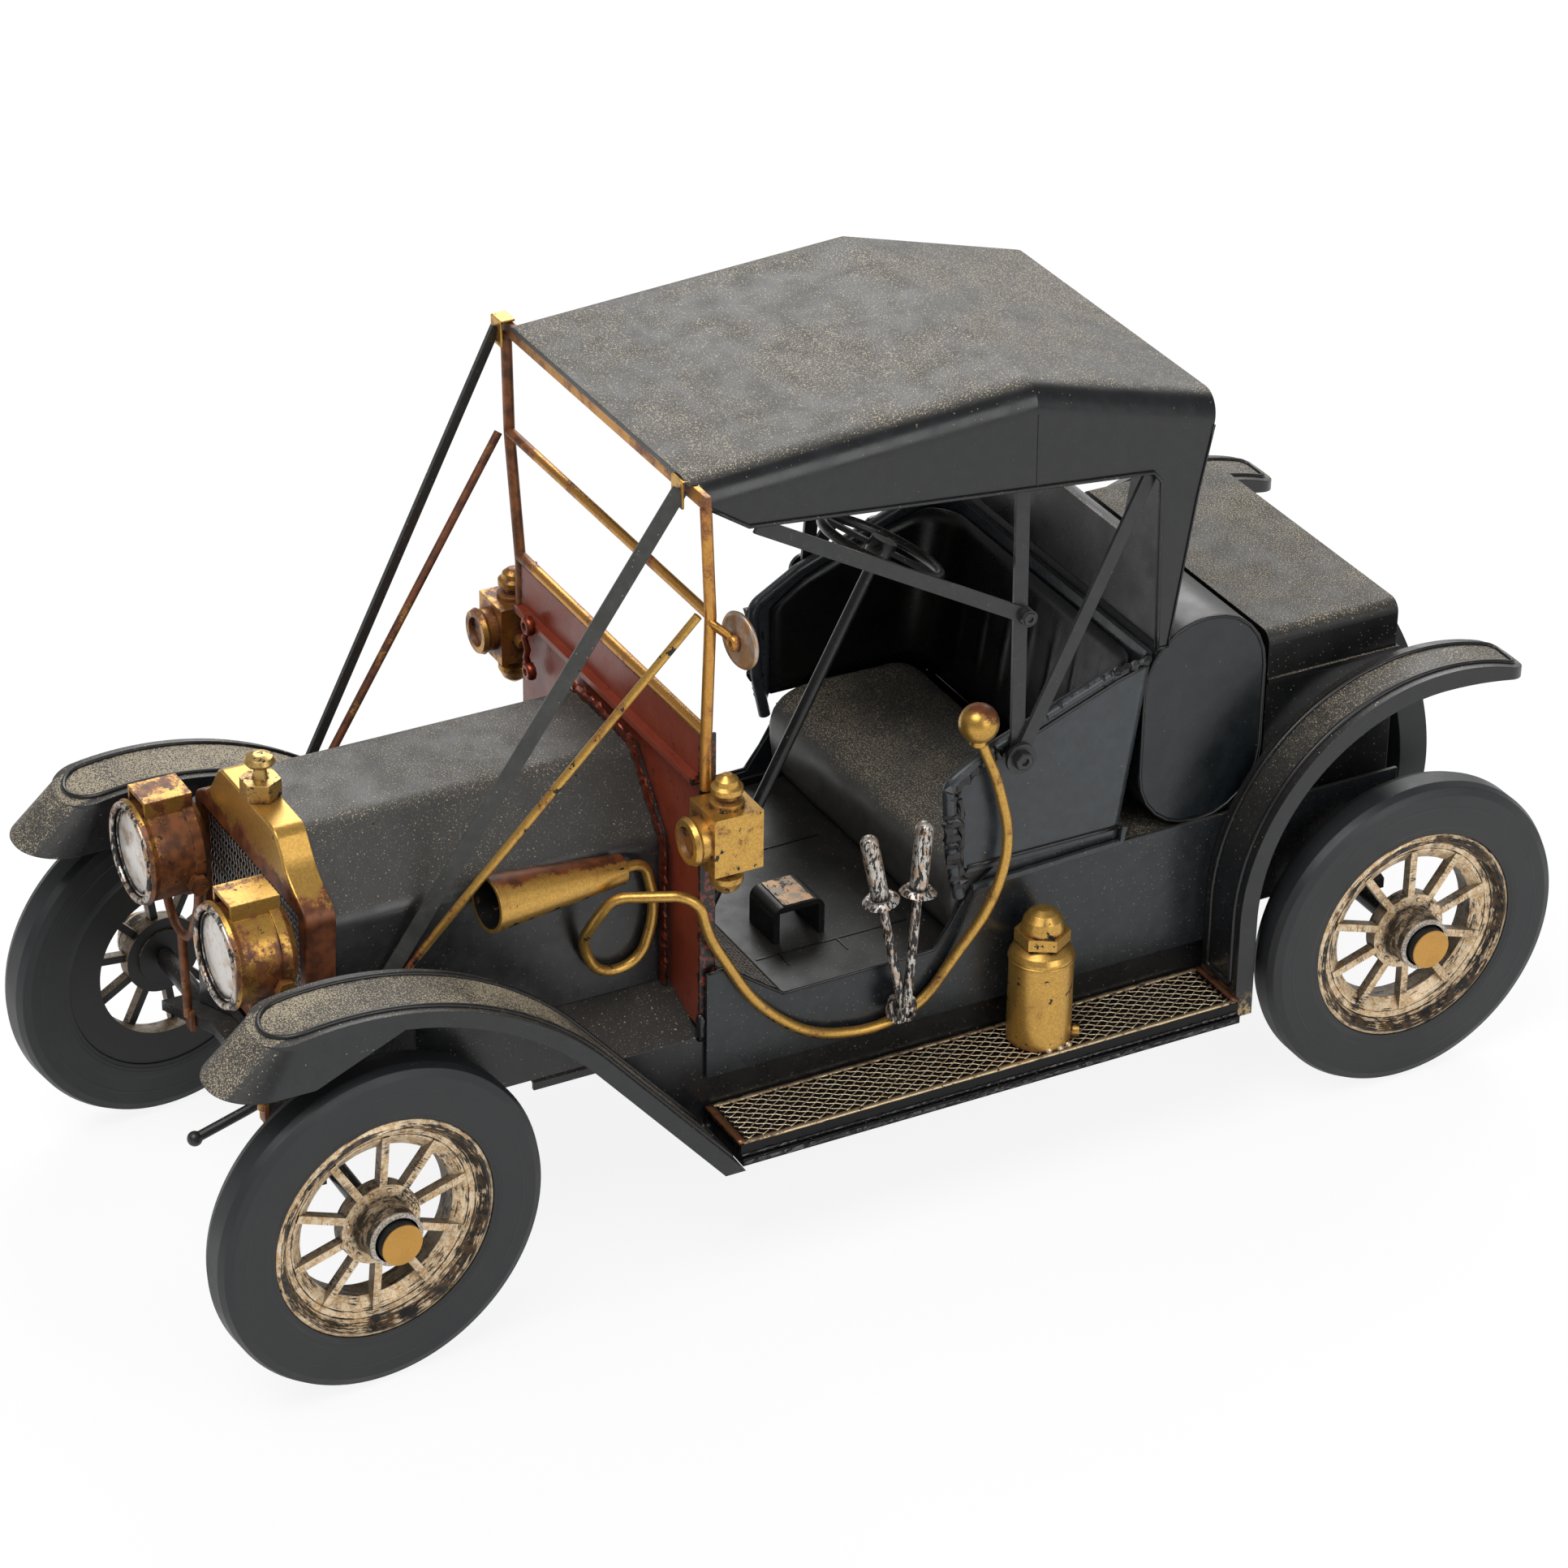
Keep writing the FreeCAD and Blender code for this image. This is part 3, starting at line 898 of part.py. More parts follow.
def seat_shell():
    """The tub round the seat: two sides and a leaning back, with rolled edges."""
    outer_half, wall = size.seat_outer, size.sheet_thickness
    low, y0 = size.seat_panel_bottom, size.seat_front
    top_y, top_z = size.seat_back_y, size.tank_centre_height + size.seat_back_rise
    foot_y = size.seat_panel_foot

    def form(half, inset, rise, radius):
        lean = (top_y - foot_y) / (top_z - low)
        ring = [(y0 - 0.5 - rise * 2, low - rise), (foot_y - inset - rise * lean, low - rise),
                (top_y - inset + rise * lean, top_z + rise), (y0 - 0.5 - rise * 2, top_z + rise)]
        solid = extruded(ring, -half, half)
        corners = [edge for edge in solid.Edges
                   if min(v.Point.y for v in edge.Vertexes) > foot_y - 6 and abs(edge.tangentAt(0).x) < 0.1
                   and abs(edge.Vertexes[0].Point.z - edge.Vertexes[-1].Point.z) > 5]
        return solid.makeFillet(radius, corners)

    shell = form(outer_half, 0.0, 0.0, size.seat_corner_radius)
    shell = shell.cut(form(outer_half - wall, wall, 2.0, size.seat_corner_radius - wall))
    sides = [(y0 - 1.0, low), (y0 - 1.8, size.arm_top), (y0 + 8.0, size.arm_top + 5.0),
             (top_y - 8.0, top_z - 1.6), (top_y + 6, top_z), (top_y + 6, low)]
    shell = shell.common(extruded(sides, -outer_half - 1, outer_half + 1))
    rolls = []
    for sign in (-1, 1):
        x = sign * (outer_half - wall / 2)
        rolls.append(round_wire([(x, y0 + 1.2, low - 4.3), (x, y0 - 0.6, low + 4), (x, y0 - 1.6, size.arm_top - 0.8),
                                 (x, y0 + 7.6, size.arm_top + 4.6), (x, top_y - 9.0, top_z - 2.0)], size.seat_roll, 3.0))
    return node("seat_shell", feature("seat_shell", union([shell] + rolls)))


def fuel_tank():
    """A drum of rounded section lying across the car behind the seat."""
    half_y, half_z = "tank_width / 2", "tank_height / 2"
    corners = [(TANK_CENTRE_Y + " - " + half_y, "tank_centre_height - " + half_z),
               (TANK_CENTRE_Y + " + " + half_y, "tank_centre_height - " + half_z),
               (TANK_CENTRE_Y + " + " + half_y, "tank_centre_height + " + half_z),
               (TANK_CENTRE_Y + " - " + half_y, "tank_centre_height + " + half_z)]
    body = padded("fuel_tank", "YZ_Plane", corners, "2 * tank_half_length")
    rounded(body, "tank_rounding", "tank_corner_radius", lambda edge: along(edge, X_AXIS))
    return node("fuel_tank", body)


def trunk():
    """The luggage box at the back, with a lid bead and a front flange."""
    floor = "rail_top + 2 * seat_gap + sheet_thickness"
    box = padded("trunk_box", "XZ_Plane", [
        ("-trunk_half_width", floor), ("trunk_half_width", floor),
        ("trunk_half_width", "trunk_top"), ("-trunk_half_width", "trunk_top")],
        "trunk_rear - trunk_front", "-(trunk_rear + trunk_front) / 2")
    rounded(box, "trunk_edges", "trunk_edge_radius",
            lambda edge: along(edge, Y_AXIS) and edge.CenterOfMass.z > size.trunk_top - 1)
    bead = block("trunk_bead", ("-trunk_half_width - 0.5", "trunk_half_width + 0.5"),
                 ("trunk_front", "trunk_rear + 0.5"), ("trunk_bead_height - 0.5", "trunk_bead_height + 0.5"))
    return node("trunk", fuse("trunk", [box, bead]))


def spare_wheel():
    """A bare tyre on a plain dished disc, bolted to a boss on the trunk's back."""
    centre = ("0", "spare_plane", "spare_height")
    tyre_body = turned("spare_tyre", [
        ("spare_bore + seat_gap", "-spare_width / 2 + 0.8"), ("spare_bore + 3", "-spare_width / 2"),
        ("spare_radius - tyre_shoulder", "-spare_width / 2"), ("spare_radius", "-spare_width / 2 + 0.9"),
        ("spare_radius", "spare_width / 2 - 0.9"), ("spare_radius - tyre_shoulder", "spare_width / 2"),
        ("spare_bore + 3", "spare_width / 2"), ("spare_bore + seat_gap", "spare_width / 2 - 0.8")], centre, Y_AXIS)
    node("spare_tyre", tyre_body)
    carrier = "trunk_rear + 0.5 + seat_gap - spare_plane"
    disc = turned("spare_rim", [
        ("0", carrier), ("spare_boss_radius", carrier), ("spare_boss_radius", "-1"), ("spare_bore - 3", "-1"),
        ("spare_bore - 1", "-spare_width / 2 + 0.8"), ("spare_bore", "-spare_width / 2 + 0.8"),
        ("spare_bore", "spare_width / 2 - 0.8"), ("spare_bore - 1", "spare_width / 2 - 0.8"),
        ("spare_bore - 3", "0.2"), ("spare_boss_radius", "0.2"), ("spare_boss_radius - 1", "2.4"), ("0", "2.4")],
        centre, Y_AXIS)
    node("spare_rim", disc)


seat_bench()
seat_shell()
fuel_tank()
trunk()
spare_wheel()


# ---------------------------------------------------------------------------
# Fenders and running boards
# ---------------------------------------------------------------------------
def arc_edge(centre, radius, first, last, x):
    """An arc in the plane of the car's side, angles in degrees up from +Y."""
    def spot(angle):
        turn = math.radians(angle)
        return Vector(x, centre[0] + radius * math.cos(turn), centre[1] + radius * math.sin(turn))
    return Part.Arc(spot(first), spot((first + last) / 2), spot(last)).toShape()


def closed_block(edges, floor, x_low, x_high):
    """The area between a run of edges and a floor line, extruded across the car."""
    start, end = edges[0].Vertexes[0].Point, edges[-1].Vertexes[-1].Point
    if edges[0].Vertexes[0].Point.distanceToPoint(edges[1].Vertexes[0].Point) < 1e-6:
        start = edges[0].Vertexes[-1].Point
    low_start, low_end = Vector(start.x, start.y, floor), Vector(end.x, end.y, floor)
    ring = [Part.LineSegment(low_start, start).toShape()] + edges
    ring += [Part.LineSegment(end, low_end).toShape(), Part.LineSegment(low_end, low_start).toShape()]
    face = Part.Face(Part.Wire(Part.__sortEdges__(ring)))
    face.translate(Vector(x_low - face.BoundBox.XMin, 0, 0))
    return face.extrude(Vector(x_high - x_low, 0, 0))


def front_run(inset, nose_radius, nose_angle):
    """The front fender's crown drawn in by an inset: nose arc, rear arc, slope."""
    crest_y, crest_z = -size.front_crest_forward, size.front_crest_height - inset
    rear_radius = size.front_slope_radius - inset
    slope = size.front_slope_angle
    rear_centre = (crest_y, size.front_crest_height - size.front_slope_radius)
    nose = arc_edge((crest_y, crest_z - nose_radius), nose_radius, 90 + nose_angle, 90, 0)
    rear = arc_edge(rear_centre, rear_radius, 90, 90 - slope, 0)
    turn = math.radians(slope)
    end = Vector(0, rear_centre[0] + rear_radius * math.sin(turn), rear_centre[1] + rear_radius * math.cos(turn))
    foot_y = value_of(FENDER_FOOT) + 1
    foot = Vector(0, foot_y, end.z - (foot_y - end.y) * math.tan(turn))
    return [nose, rear, Part.LineSegment(end, foot).toShape()]


def rear_run(inset, tail_radius, tail_angle):
    """The rear fender's crown drawn in by an inset: upright leg, quarter arc, tail arc."""
    crest_y = size.rear_fender_foot + size.rear_arc_radius
    knee_z, top = size.rear_crest_height - size.rear_arc_radius, size.rear_crest_height - inset
    foot_y = size.rear_fender_foot + inset
    leg = Part.LineSegment(Vector(0, foot_y, size.sill_bottom), Vector(0, foot_y, knee_z)).toShape()
    quarter = arc_edge((crest_y, knee_z), size.rear_arc_radius - inset, 180, 90, 0)
    tail = arc_edge((crest_y, top - tail_radius), tail_radius, 90, 90 - tail_angle, 0)
    return [leg, quarter, tail]


def end_edges(solid, at_y):
    return [edge for edge in solid.Edges
            if edge.Curve.TypeId == "Part::GeomLine" and abs(edge.tangentAt(0).z) > 0.99
            and all(abs(corner.Point.y - at_y) < 1e-4 for corner in edge.Vertexes) and edge.Length > 5]


def fender(run, lip_run, radius, angle, x_low, x_high, nose_sign, corner):
    """A pressed fender: crown, lip all round, rounded in plan at its free end."""
    wall = size.sheet_thickness
    outside = closed_block(run(0, radius, angle), 0, x_low, x_high)
    inside = closed_block(run(wall, radius - wall, angle), -1, x_low + wall, x_high - wall)
    for_outside = outside.BoundBox.YMin if nose_sign < 0 else outside.BoundBox.YMax
    for_inside = inside.BoundBox.YMin if nose_sign < 0 else inside.BoundBox.YMax
    outside = outside.makeFillet(corner, end_edges(outside, for_outside))
    inside = inside.makeFillet(corner - wall, end_edges(inside, for_inside))
    below = closed_block(lip_run, -2, x_low - 1, x_high + 1)
    ground = Part.makeBox(100, 400, size.sill_bottom + 2, Vector(0, -200, -2))
    return outside.cut(inside).cut(below).cut(ground)


def plan_outline(front, low, high, rear, radius, z):
    """A rectangle in plan whose two front corners are rounded."""
    corner = radius * (1 - math.sqrt(0.5))
    points = [(low, rear), (low, front + radius), (low + corner, front + corner), (low + radius, front),
              (high - radius, front), (high - corner, front + corner), (high, front + radius), (high, rear)]
    spots = [Vector(x, y, z) for x, y in points]
    edges = [Part.LineSegment(spots[0], spots[1]), Part.Arc(*spots[1:4]), Part.LineSegment(spots[3], spots[4]),
             Part.Arc(*spots[4:7]), Part.LineSegment(spots[6], spots[7]), Part.LineSegment(spots[7], spots[0])]
    return Part.Wire([edge.toShape() for edge in edges])


def scoop(low, high):
    """The collar round the front fender's nose, flaring forwards and outwards as it goes down."""
    turn = math.radians(size.front_nose_angle)
    nose = -(size.front_crest_forward + size.front_nose_radius * math.sin(turn))
    top = size.front_crest_height - size.front_nose_radius * (1 - math.cos(turn))
    bottom = top - size.scoop_drop
    rear, wall, flare = 2 - size.scoop_rear, size.sheet_thickness, size.scoop_flare

    def cone(inset, spare):
        upper = plan_outline(nose + inset, low + inset, high - inset, rear, size.fender_corner_radius - inset, top)
        lower = plan_outline(nose - size.scoop_reach + inset, low - flare + inset, high + flare - inset, rear,
                             size.fender_corner_radius + 3 - inset, bottom - spare)
        return Part.makeLoft([upper, lower], True)

    lip_top = size.front_crest_height - size.fender_lip - 0.6
    kept = [(nose - 20, top + 1), (nose - 20, bottom), (-size.scoop_level_rear, bottom), (-size.scoop_rear, lip_top),
            (-size.scoop_rear, top + 1)]
    return cone(0, 0).cut(cone(wall, 0)).common(extruded(kept, low - 10, high + 10)), nose, top


def front_fender_shape():
    low, high = size.fender_inner, size.fender_inner + size.fender_width
    lip_run = front_run(size.fender_lip, size.front_nose_radius - size.fender_lip, size.front_nose_angle)
    shape = fender(front_run, lip_run, size.front_nose_radius, size.front_nose_angle, low, high, -1,
                   size.fender_corner_radius)
    # the scoop hangs from the crown's edge all round the nose
    collar, nose, top = scoop(low, high)
    shape = shape.cut(Part.makeBox(size.fender_width + 2, -size.scoop_rear - nose + 1, top, Vector(low - 1, nose - 1, 0)))
    # the splash apron under the inner edge, down to the chassis
    apron = closed_block(front_run(0, size.front_nose_radius, size.front_nose_angle), 0, low, low + size.sheet_thickness)
    window = Part.makeBox(size.sheet_thickness, size.apron_rear_reach, 60,
                          Vector(low, -size.apron_front, size.apron_bottom))
    return shape.fuse(apron.common(window)).fuse(collar).removeSplitter()


def rear_fender_shape():
    low = size.body_half_width + size.seat_gap
    # the lip is deep before the tyre and thins out towards the tail
    lip_run = rear_run(size.rear_fender_lip, size.rear_lip_radius, size.rear_lip_angle)
    return fender(rear_run, lip_run, size.rear_tail_radius, size.rear_tail_angle, low, low + size.rear_fender_width,
                  1, size.tail_corner_radius)


def running_board(side, sign):
    """A plain plate with a deck raised on it by two turned-down edges."""
    y = ("%s + seat_gap" % FENDER_FOOT, "rear_fender_foot - seat_gap")

    def slab(name, inner, outer, z):
        x = (inner, outer) if sign > 0 else ("-(%s)" % outer, "-(%s)" % inner)
        return block("%s_%s" % (name, side), x, y, z)

    inner, under = "sill_outer + seat_gap", "sill_bottom + board_plate"
    edge = "board_edge"
    pieces = [slab("board_plate", inner, "board_outer", ("sill_bottom", under)),
              slab("board_deck", inner, "deck_outer", ("board_top - " + edge, "board_top")),
              slab("board_inner_edge", inner, "%s + %s" % (inner, edge), (under, "board_top - " + edge)),
              slab("board_outer_edge", "deck_outer - " + edge, "deck_outer", (under, "board_top - " + edge))]
    return node("running_board_" + side, fuse("running_board_" + side, pieces))


pair("fender_front", front_fender_shape())
pair("fender_rear", rear_fender_shape())
for side, sign in SIDES:
    running_board(side, sign)


# ---------------------------------------------------------------------------
# Gas cylinder, hand levers, steering gear and pedals
# ---------------------------------------------------------------------------
def gas_cylinder():
    """A pressure bottle with a hexagon collar and a valve at its foot, standing on the left board."""
    at = ("cylinder_x", "cylinder_y", "board_top + seat_gap")
    shoulder = "cylinder_height"
    bottle = turned("bottle", [
        ("0", "0"), ("cylinder_radius - 0.3", "0"), ("cylinder_radius", "0.4"), ("cylinder_radius", shoulder),
        ("cylinder_radius - 0.5", shoulder + " + 0.9"), ("cylinder_radius - 1.5", shoulder + " + 1.6"),
        ("cylinder_radius * 0.66", shoulder + " + 1.9"), ("cylinder_radius * 0.66", shoulder + " + 5.4"),
        ("cylinder_radius * 0.6", shoulder + " + 6.8"), ("cylinder_radius * 0.44", shoulder + " + 8"),
        ("cylinder_radius * 0.22", shoulder + " + 8.7"), ("0", shoulder + " + 8.9")], at)
    collar = primitive("Prism", "bottle_collar", at=(at[0], at[1], "%s + %s + 2.3" % (at[2], shoulder)),
                       Circumradius="cylinder_radius * 0.86", Height="cylinder_height / 8")
    collar.Polygon = 6
    valve = primitive("Cylinder", "bottle_valve", at=(at[0], at[1], at[2] + " + valve_radius + 0.4"),
                      turn=towards(Vector(0.5, 0.85, 0)), Radius="valve_radius",
                      Height="cylinder_radius + valve_reach")
    return node("gas_cylinder", fuse("gas_cylinder", [bottle, collar, valve]))


def hand_levers():
    """Two round-headed lever rods on one pivot bolt in the left side panel."""
    pivot = Vector(size.body_half_width + size.seat_gap, size.lever_pivot_y, size.lever_pivot_z)
    bolt = Part.makeCylinder(1.3, size.lever_stand_out, pivot, X_AXIS)
    washer = Part.makeCylinder(2.9, 0.8, pivot + X_AXIS * (size.lever_stand_out - 2.6), X_AXIS)
    pieces = [bolt, washer]
    for lift, top_y, collar_at in ((size.lever_stand_out - 1.5, size.lever_front_y, 0.66),
                                   (size.lever_stand_out - 0.6, size.lever_rear_y, 0.66)):
        start = pivot + X_AXIS * lift
        end = Vector(size.body_half_width + size.lever_head_x, top_y, size.lever_top)
        run = end - start
        rod_shape = Part.makeCylinder(size.lever_wire, run.Length * collar_at + 0.3, start, run)
        head = start + run * collar_at
        collar = Part.makeCone(size.lever_radius * 2.05, size.lever_radius * 1.5, 0.9, head, run)
        shaft = Part.makeCylinder(size.lever_radius, run.Length * (1 - collar_at), head, run)
        tip = Part.makeSphere(size.lever_radius, end)
        pieces += [rod_shape, collar, shaft, tip]
    return node("hand_levers", feature("hand_levers", union(pieces)))


def steering_column():
    """The rod from the toe board up to the wheel."""
    run = COLUMN_TOP - COLUMN_FOOT
    length = run.Length - size.steering_hub / 2 - size.seat_gap
    return node("steering_column", feature("steering_column", Part.makeCylinder(
        size.column_radius, length, COLUMN_FOOT, run)))


def steering_wheel():
    """A wire rim on four flat spokes and a small hub."""
    rim = Part.makeTorus(size.steering_wheel_radius, size.wire_radius, Vector(), Z_AXIS)
    hub = Part.makeCylinder(2.4, size.steering_hub, Vector(0, 0, -size.steering_hub / 2), Z_AXIS)
    pieces = [rim, hub]
    for quarter in range(4):
        arm = Part.makeBox(size.steering_wheel_radius - 1, 1.6, 0.8, Vector(0.5, -0.8, -0.4))
        arm.rotate(Vector(), Z_AXIS, 45 + 90 * quarter)
        pieces.append(arm)
    wheel_shape = union(pieces)
    wheel_shape.Placement = Placement(COLUMN_TOP, Rotation(Z_AXIS, COLUMN_TOP - COLUMN_FOOT))
    return node("steering_wheel", feature("steering_wheel", wheel_shape))


def pedal_block():
    """A strip bent down at both ends to stand on the floor as the pedals' bridge."""
    floor = "rail_top + 2 * seat_gap + sheet_thickness"
    top, inset = floor + " + pedal_height", "pedal_thickness"
    body = padded("pedal_block", "YZ_Plane", [
        ("-pedal_front", floor), ("-pedal_front", top), ("-pedal_rear", top), ("-pedal_rear", floor),
        ("-pedal_rear - " + inset, floor), ("-pedal_rear - " + inset, "%s - %s" % (top, inset)),
        ("-pedal_front + " + inset, "%s - %s" % (top, inset)), ("-pedal_front + " + inset, floor)],
        "pedal_width", "pedal_x")
    rounded(body, "pedal_rounding", "pedal_radius",
            lambda edge: along(edge, X_AXIS) and abs(edge.CenterOfMass.z - value_of(top)) < 1e-3)
    return node("pedal_block", body)


TOE_BOARD_FALL = size.floor_rise / (size.cockpit_front - 0.6 - size.toe_board_foot)
COLUMN_FOOT = Vector(size.column_x, -size.column_foot_forward,
                     size.rail_top + size.seat_gap + size.sheet_thickness + size.column_radius * 0.3 + 0.05
                     + TOE_BOARD_FALL * (size.column_foot_forward - size.toe_board_foot))
COLUMN_TOP = Vector(size.column_x, size.column_top_y, size.column_top_height)
gas_cylinder()
hand_levers()
steering_column()
steering_wheel()
pedal_block()


# ---------------------------------------------------------------------------
# Folding top: its sheet with valances and rear curtain, and its side irons
# ---------------------------------------------------------------------------
def roof():
    """The top: two sloping panels, side valances and the rear curtain, one sheet."""
    wall, half = size.roof_sheet, size.roof_half_width
    front, ridge, rear = -size.roof_front, size.roof_ridge_y, size.roof_rear
    seat = size.seat_gap

    def crown(inset):
        lean = inset * 1.03
        return [(front, size.roof_front_height - lean), (ridge, RIDGE_HEIGHT - inset),
                (rear - lean, REAR_HEIGHT - lean), (size.curtain_knee_y - lean, REAR_HEIGHT - size.curtain_knee_drop),
                (size.curtain_bottom_y - lean, CURTAIN_BOTTOM)]

    outer = crown(0) + [(size.curtain_corner_y, CURTAIN_BOTTOM), (size.curtain_corner_y - 0.8, VALANCE_REAR - 2),
                        (size.curtain_corner_y - 2.2, VALANCE_REAR), (-27.0, VALANCE_FRONT),
                        (front + 3.4, size.roof_front_height - 5), (front + 2.2, SCREEN_TOP + size.screen_rail_height + seat),
                        (front, SCREEN_TOP + size.screen_rail_height + seat)]
    inner = crown(wall)
    inner[0] = (front - 20, size.roof_front_height - wall - 1.25)
    inner[-1] = (size.curtain_bottom_y - wall - 1.4, CURTAIN_BOTTOM - 10)
    inner += [(front - 20, CURTAIN_BOTTOM - 10)]

    def folded(spots, x, radius):
        """The profile across the car, its two top edges on each side rounded off."""
        solid = extruded(spots, -x, x)
        ends = [Vector(sign * x, *spot) for sign in (-1, 1) for spot in spots[:3]]
        picked = [edge for edge in solid.Edges if abs(edge.tangentAt(0).x) < 0.5
                  and all(min(corner.Point.distanceToPoint(end) for end in ends) < 1e-4
                          for corner in edge.Vertexes)]
        return solid.makeFillet(radius, picked)

    shell = folded(outer, half, size.roof_fold_radius)
    hollow = folded(inner, half - wall, size.roof_fold_radius - wall)
    window = Part.makeBox(2 * size.window_half_width, 20, WINDOW_HEAD - WINDOW_SILL,
                          Vector(-size.window_half_width, size.curtain_corner_y - 4, WINDOW_SILL))
    return node("roof", feature("roof", shell.cut(hollow).cut(window)))


def hood_irons():
    """Each side's flat irons: an upright, a slanted brace and the long diagonal."""
    sides = []
    wide, thick = size.iron_width, size.iron_thickness
    for sign in (1, -1):
        foot = (sign * size.iron_foot_x, size.iron_foot_y, size.iron_foot_z)
        head = (sign * size.iron_head_x, size.iron_foot_y + 1.4, VALANCE_FRONT - 5.5)
        share = (size.iron_joint_z - foot[2]) / (head[2] - foot[2])
        joint = (foot[0] + (head[0] - foot[0]) * share, foot[1] + 1.4, size.iron_joint_z)
        upright = strip(foot, head, wide, thick)
        outward = sign * thick
        brace_foot = (foot[0] + outward, foot[1], foot[2])
        brace = strip(brace_foot, (sign * size.iron_head_x, size.curtain_corner_y - 1.5, VALANCE_REAR + 0.5), wide, thick)
        diagonal = strip((joint[0] + outward, joint[1], joint[2]),
                         (sign * size.iron_head_x, -24.8, VALANCE_FRONT - 1), wide, thick)
        direction = X_AXIS * sign
        lower = Vector(sign * (size.seat_outer + size.seat_gap), foot[1], foot[2])
        pin = Part.makeCylinder(1.5, abs(foot[0]) + 2.2 - size.seat_outer, lower, direction)
        washer = Part.makeCylinder(2.8, 0.8, Vector(foot[0] + 1.3 * outward, foot[1], foot[2]), direction)
        upper = Part.makeCylinder(1.5, 3.0, Vector(joint[0] - sign * 0.8, joint[1], joint[2]), direction)
        sides.append(union([upright, brace, diagonal, pin, washer, upper]))
    return node("hood_irons", feature("hood_irons", Part.makeCompound(sides)))


roof()
hood_irons()

# ---------------------------------------------------------------------------
# Check every object, then write each sub-part's own file
# ---------------------------------------------------------------------------
doc.recompute()
for item in doc.Objects:
    if "Invalid" in item.State or "Error" in item.State:
        raise RuntimeError("%s failed: %s" % (item.Label, item.State))
for item in NODES:
    if item.Shape.isNull() or not item.Shape.isValid():
        raise RuntimeError("%s has no valid shape" % item.Label)
for item in NODES:
    item.Shape.exportStep("parts/%s.step" % item.Label)
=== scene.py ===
import math
import random

import bmesh
import bpy
from mathutils import Matrix, Vector


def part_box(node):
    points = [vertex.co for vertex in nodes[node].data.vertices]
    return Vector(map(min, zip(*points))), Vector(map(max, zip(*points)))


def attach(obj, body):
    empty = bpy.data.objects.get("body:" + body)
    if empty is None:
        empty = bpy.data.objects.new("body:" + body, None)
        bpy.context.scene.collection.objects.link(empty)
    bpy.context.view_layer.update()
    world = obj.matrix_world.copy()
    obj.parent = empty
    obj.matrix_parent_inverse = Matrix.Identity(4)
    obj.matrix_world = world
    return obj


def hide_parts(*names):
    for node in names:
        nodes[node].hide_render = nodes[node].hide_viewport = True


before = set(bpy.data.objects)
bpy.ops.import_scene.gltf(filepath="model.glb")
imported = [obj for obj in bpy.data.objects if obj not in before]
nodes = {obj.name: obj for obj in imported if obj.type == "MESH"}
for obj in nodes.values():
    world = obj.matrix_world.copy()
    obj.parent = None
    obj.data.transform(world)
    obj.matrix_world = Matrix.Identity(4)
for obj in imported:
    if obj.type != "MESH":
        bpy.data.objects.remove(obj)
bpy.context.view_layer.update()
scene = bpy.context.scene
MM = 0.001
# directions of the car: it faces -y
LEFT, REAR, UP = (1, 0, 0), (0, 1, 0), (0, 0, 1)
FRONT, DOWN = (0, -1, 0), (0, 0, -1)
SIDES = (("left", 1), ("right", -1))


# ---- camera
AZIMUTH, ELEVATION, ROLL = math.radians(61.59), math.radians(30.04), math.radians(0.76)
EYE = Vector((0.69428, -0.37642, 0.51854))
FOCAL_LENGTH, SENSOR_WIDTH = 119.93, 36
NEAR, FAR = 0.02, 20


def make_camera():
    back = Vector((math.sin(AZIMUTH) * math.cos(ELEVATION),
                   -math.cos(AZIMUTH) * math.cos(ELEVATION), math.sin(ELEVATION)))
    right = (-back).cross(Vector(UP)).normalized()
    up = right.cross(-back).normalized()
    rolled_right = math.cos(ROLL) * right + math.sin(ROLL) * up
    rolled_up = -math.sin(ROLL) * right + math.cos(ROLL) * up
    data = bpy.data.cameras.new("camera")
    data.lens, data.sensor_width = FOCAL_LENGTH, SENSOR_WIDTH
    data.clip_start, data.clip_end = NEAR, FAR
    camera = bpy.data.objects.new("camera", data)
    turn = Matrix((rolled_right, rolled_up, back)).transposed()
    camera.matrix_world = Matrix.Translation(EYE) @ turn.to_4x4()
    scene.collection.objects.link(camera)
    scene.camera = camera


# ---- node graphs
class Graph:
    """A node tree, with one short call for each kind of node.

    A value is a number, a colour or another node's socket.
    """

    def __init__(self, owner, output):
        owner.use_nodes = True
        self.tree = owner.node_tree
        self.tree.nodes.clear()
        self.output = self.new(output)

    def feed(self, socket, value):
        if isinstance(value, bpy.types.NodeSocket):
            self.tree.links.new(value, socket)
        elif isinstance(value, tuple) and len(value) == 3 and len(socket.default_value) == 4:
            socket.default_value = (*value, 1.0)
        else:
            socket.default_value = value

    def new(self, kind, **inputs):
        """A node whose inputs are fed by name, with _ for a space."""
        n = self.tree.nodes.new("ShaderNode" + kind)
        for name, value in inputs.items():
            self.feed(n.inputs[name.replace("_", " ")], value)
        return n

    def vector(self, operation, *values):
        n = self.new("VectorMath")
        n.operation = operation
        for socket, value in zip(n.inputs, values):
            self.feed(socket, value)
        return n

    def math(self, operation, *values):
        n = self.new("Math")
        n.operation = operation
        for socket, value in zip(n.inputs, values):
            self.feed(socket, value)
        return n.outputs[0]

    def plus(self, total, *values):
        for value in values:
            total = self.math("ADD", total, value)
        return total

    def times(self, total, *values):
        for value in values:
            total = self.math("MULTIPLY", total, value)
        return total

    def minus(self, a, b):
        return self.math("SUBTRACT", a, b)

    def either(self, a, b):
        return self.math("MAXIMUM", a, b)

    def seen_directly(self):
        """1 for the camera's rays and for those that glass lets through."""
        ray = self.new("LightPath").outputs
        return self.either(ray["Is Camera Ray"], ray["Is Transmission Ray"])


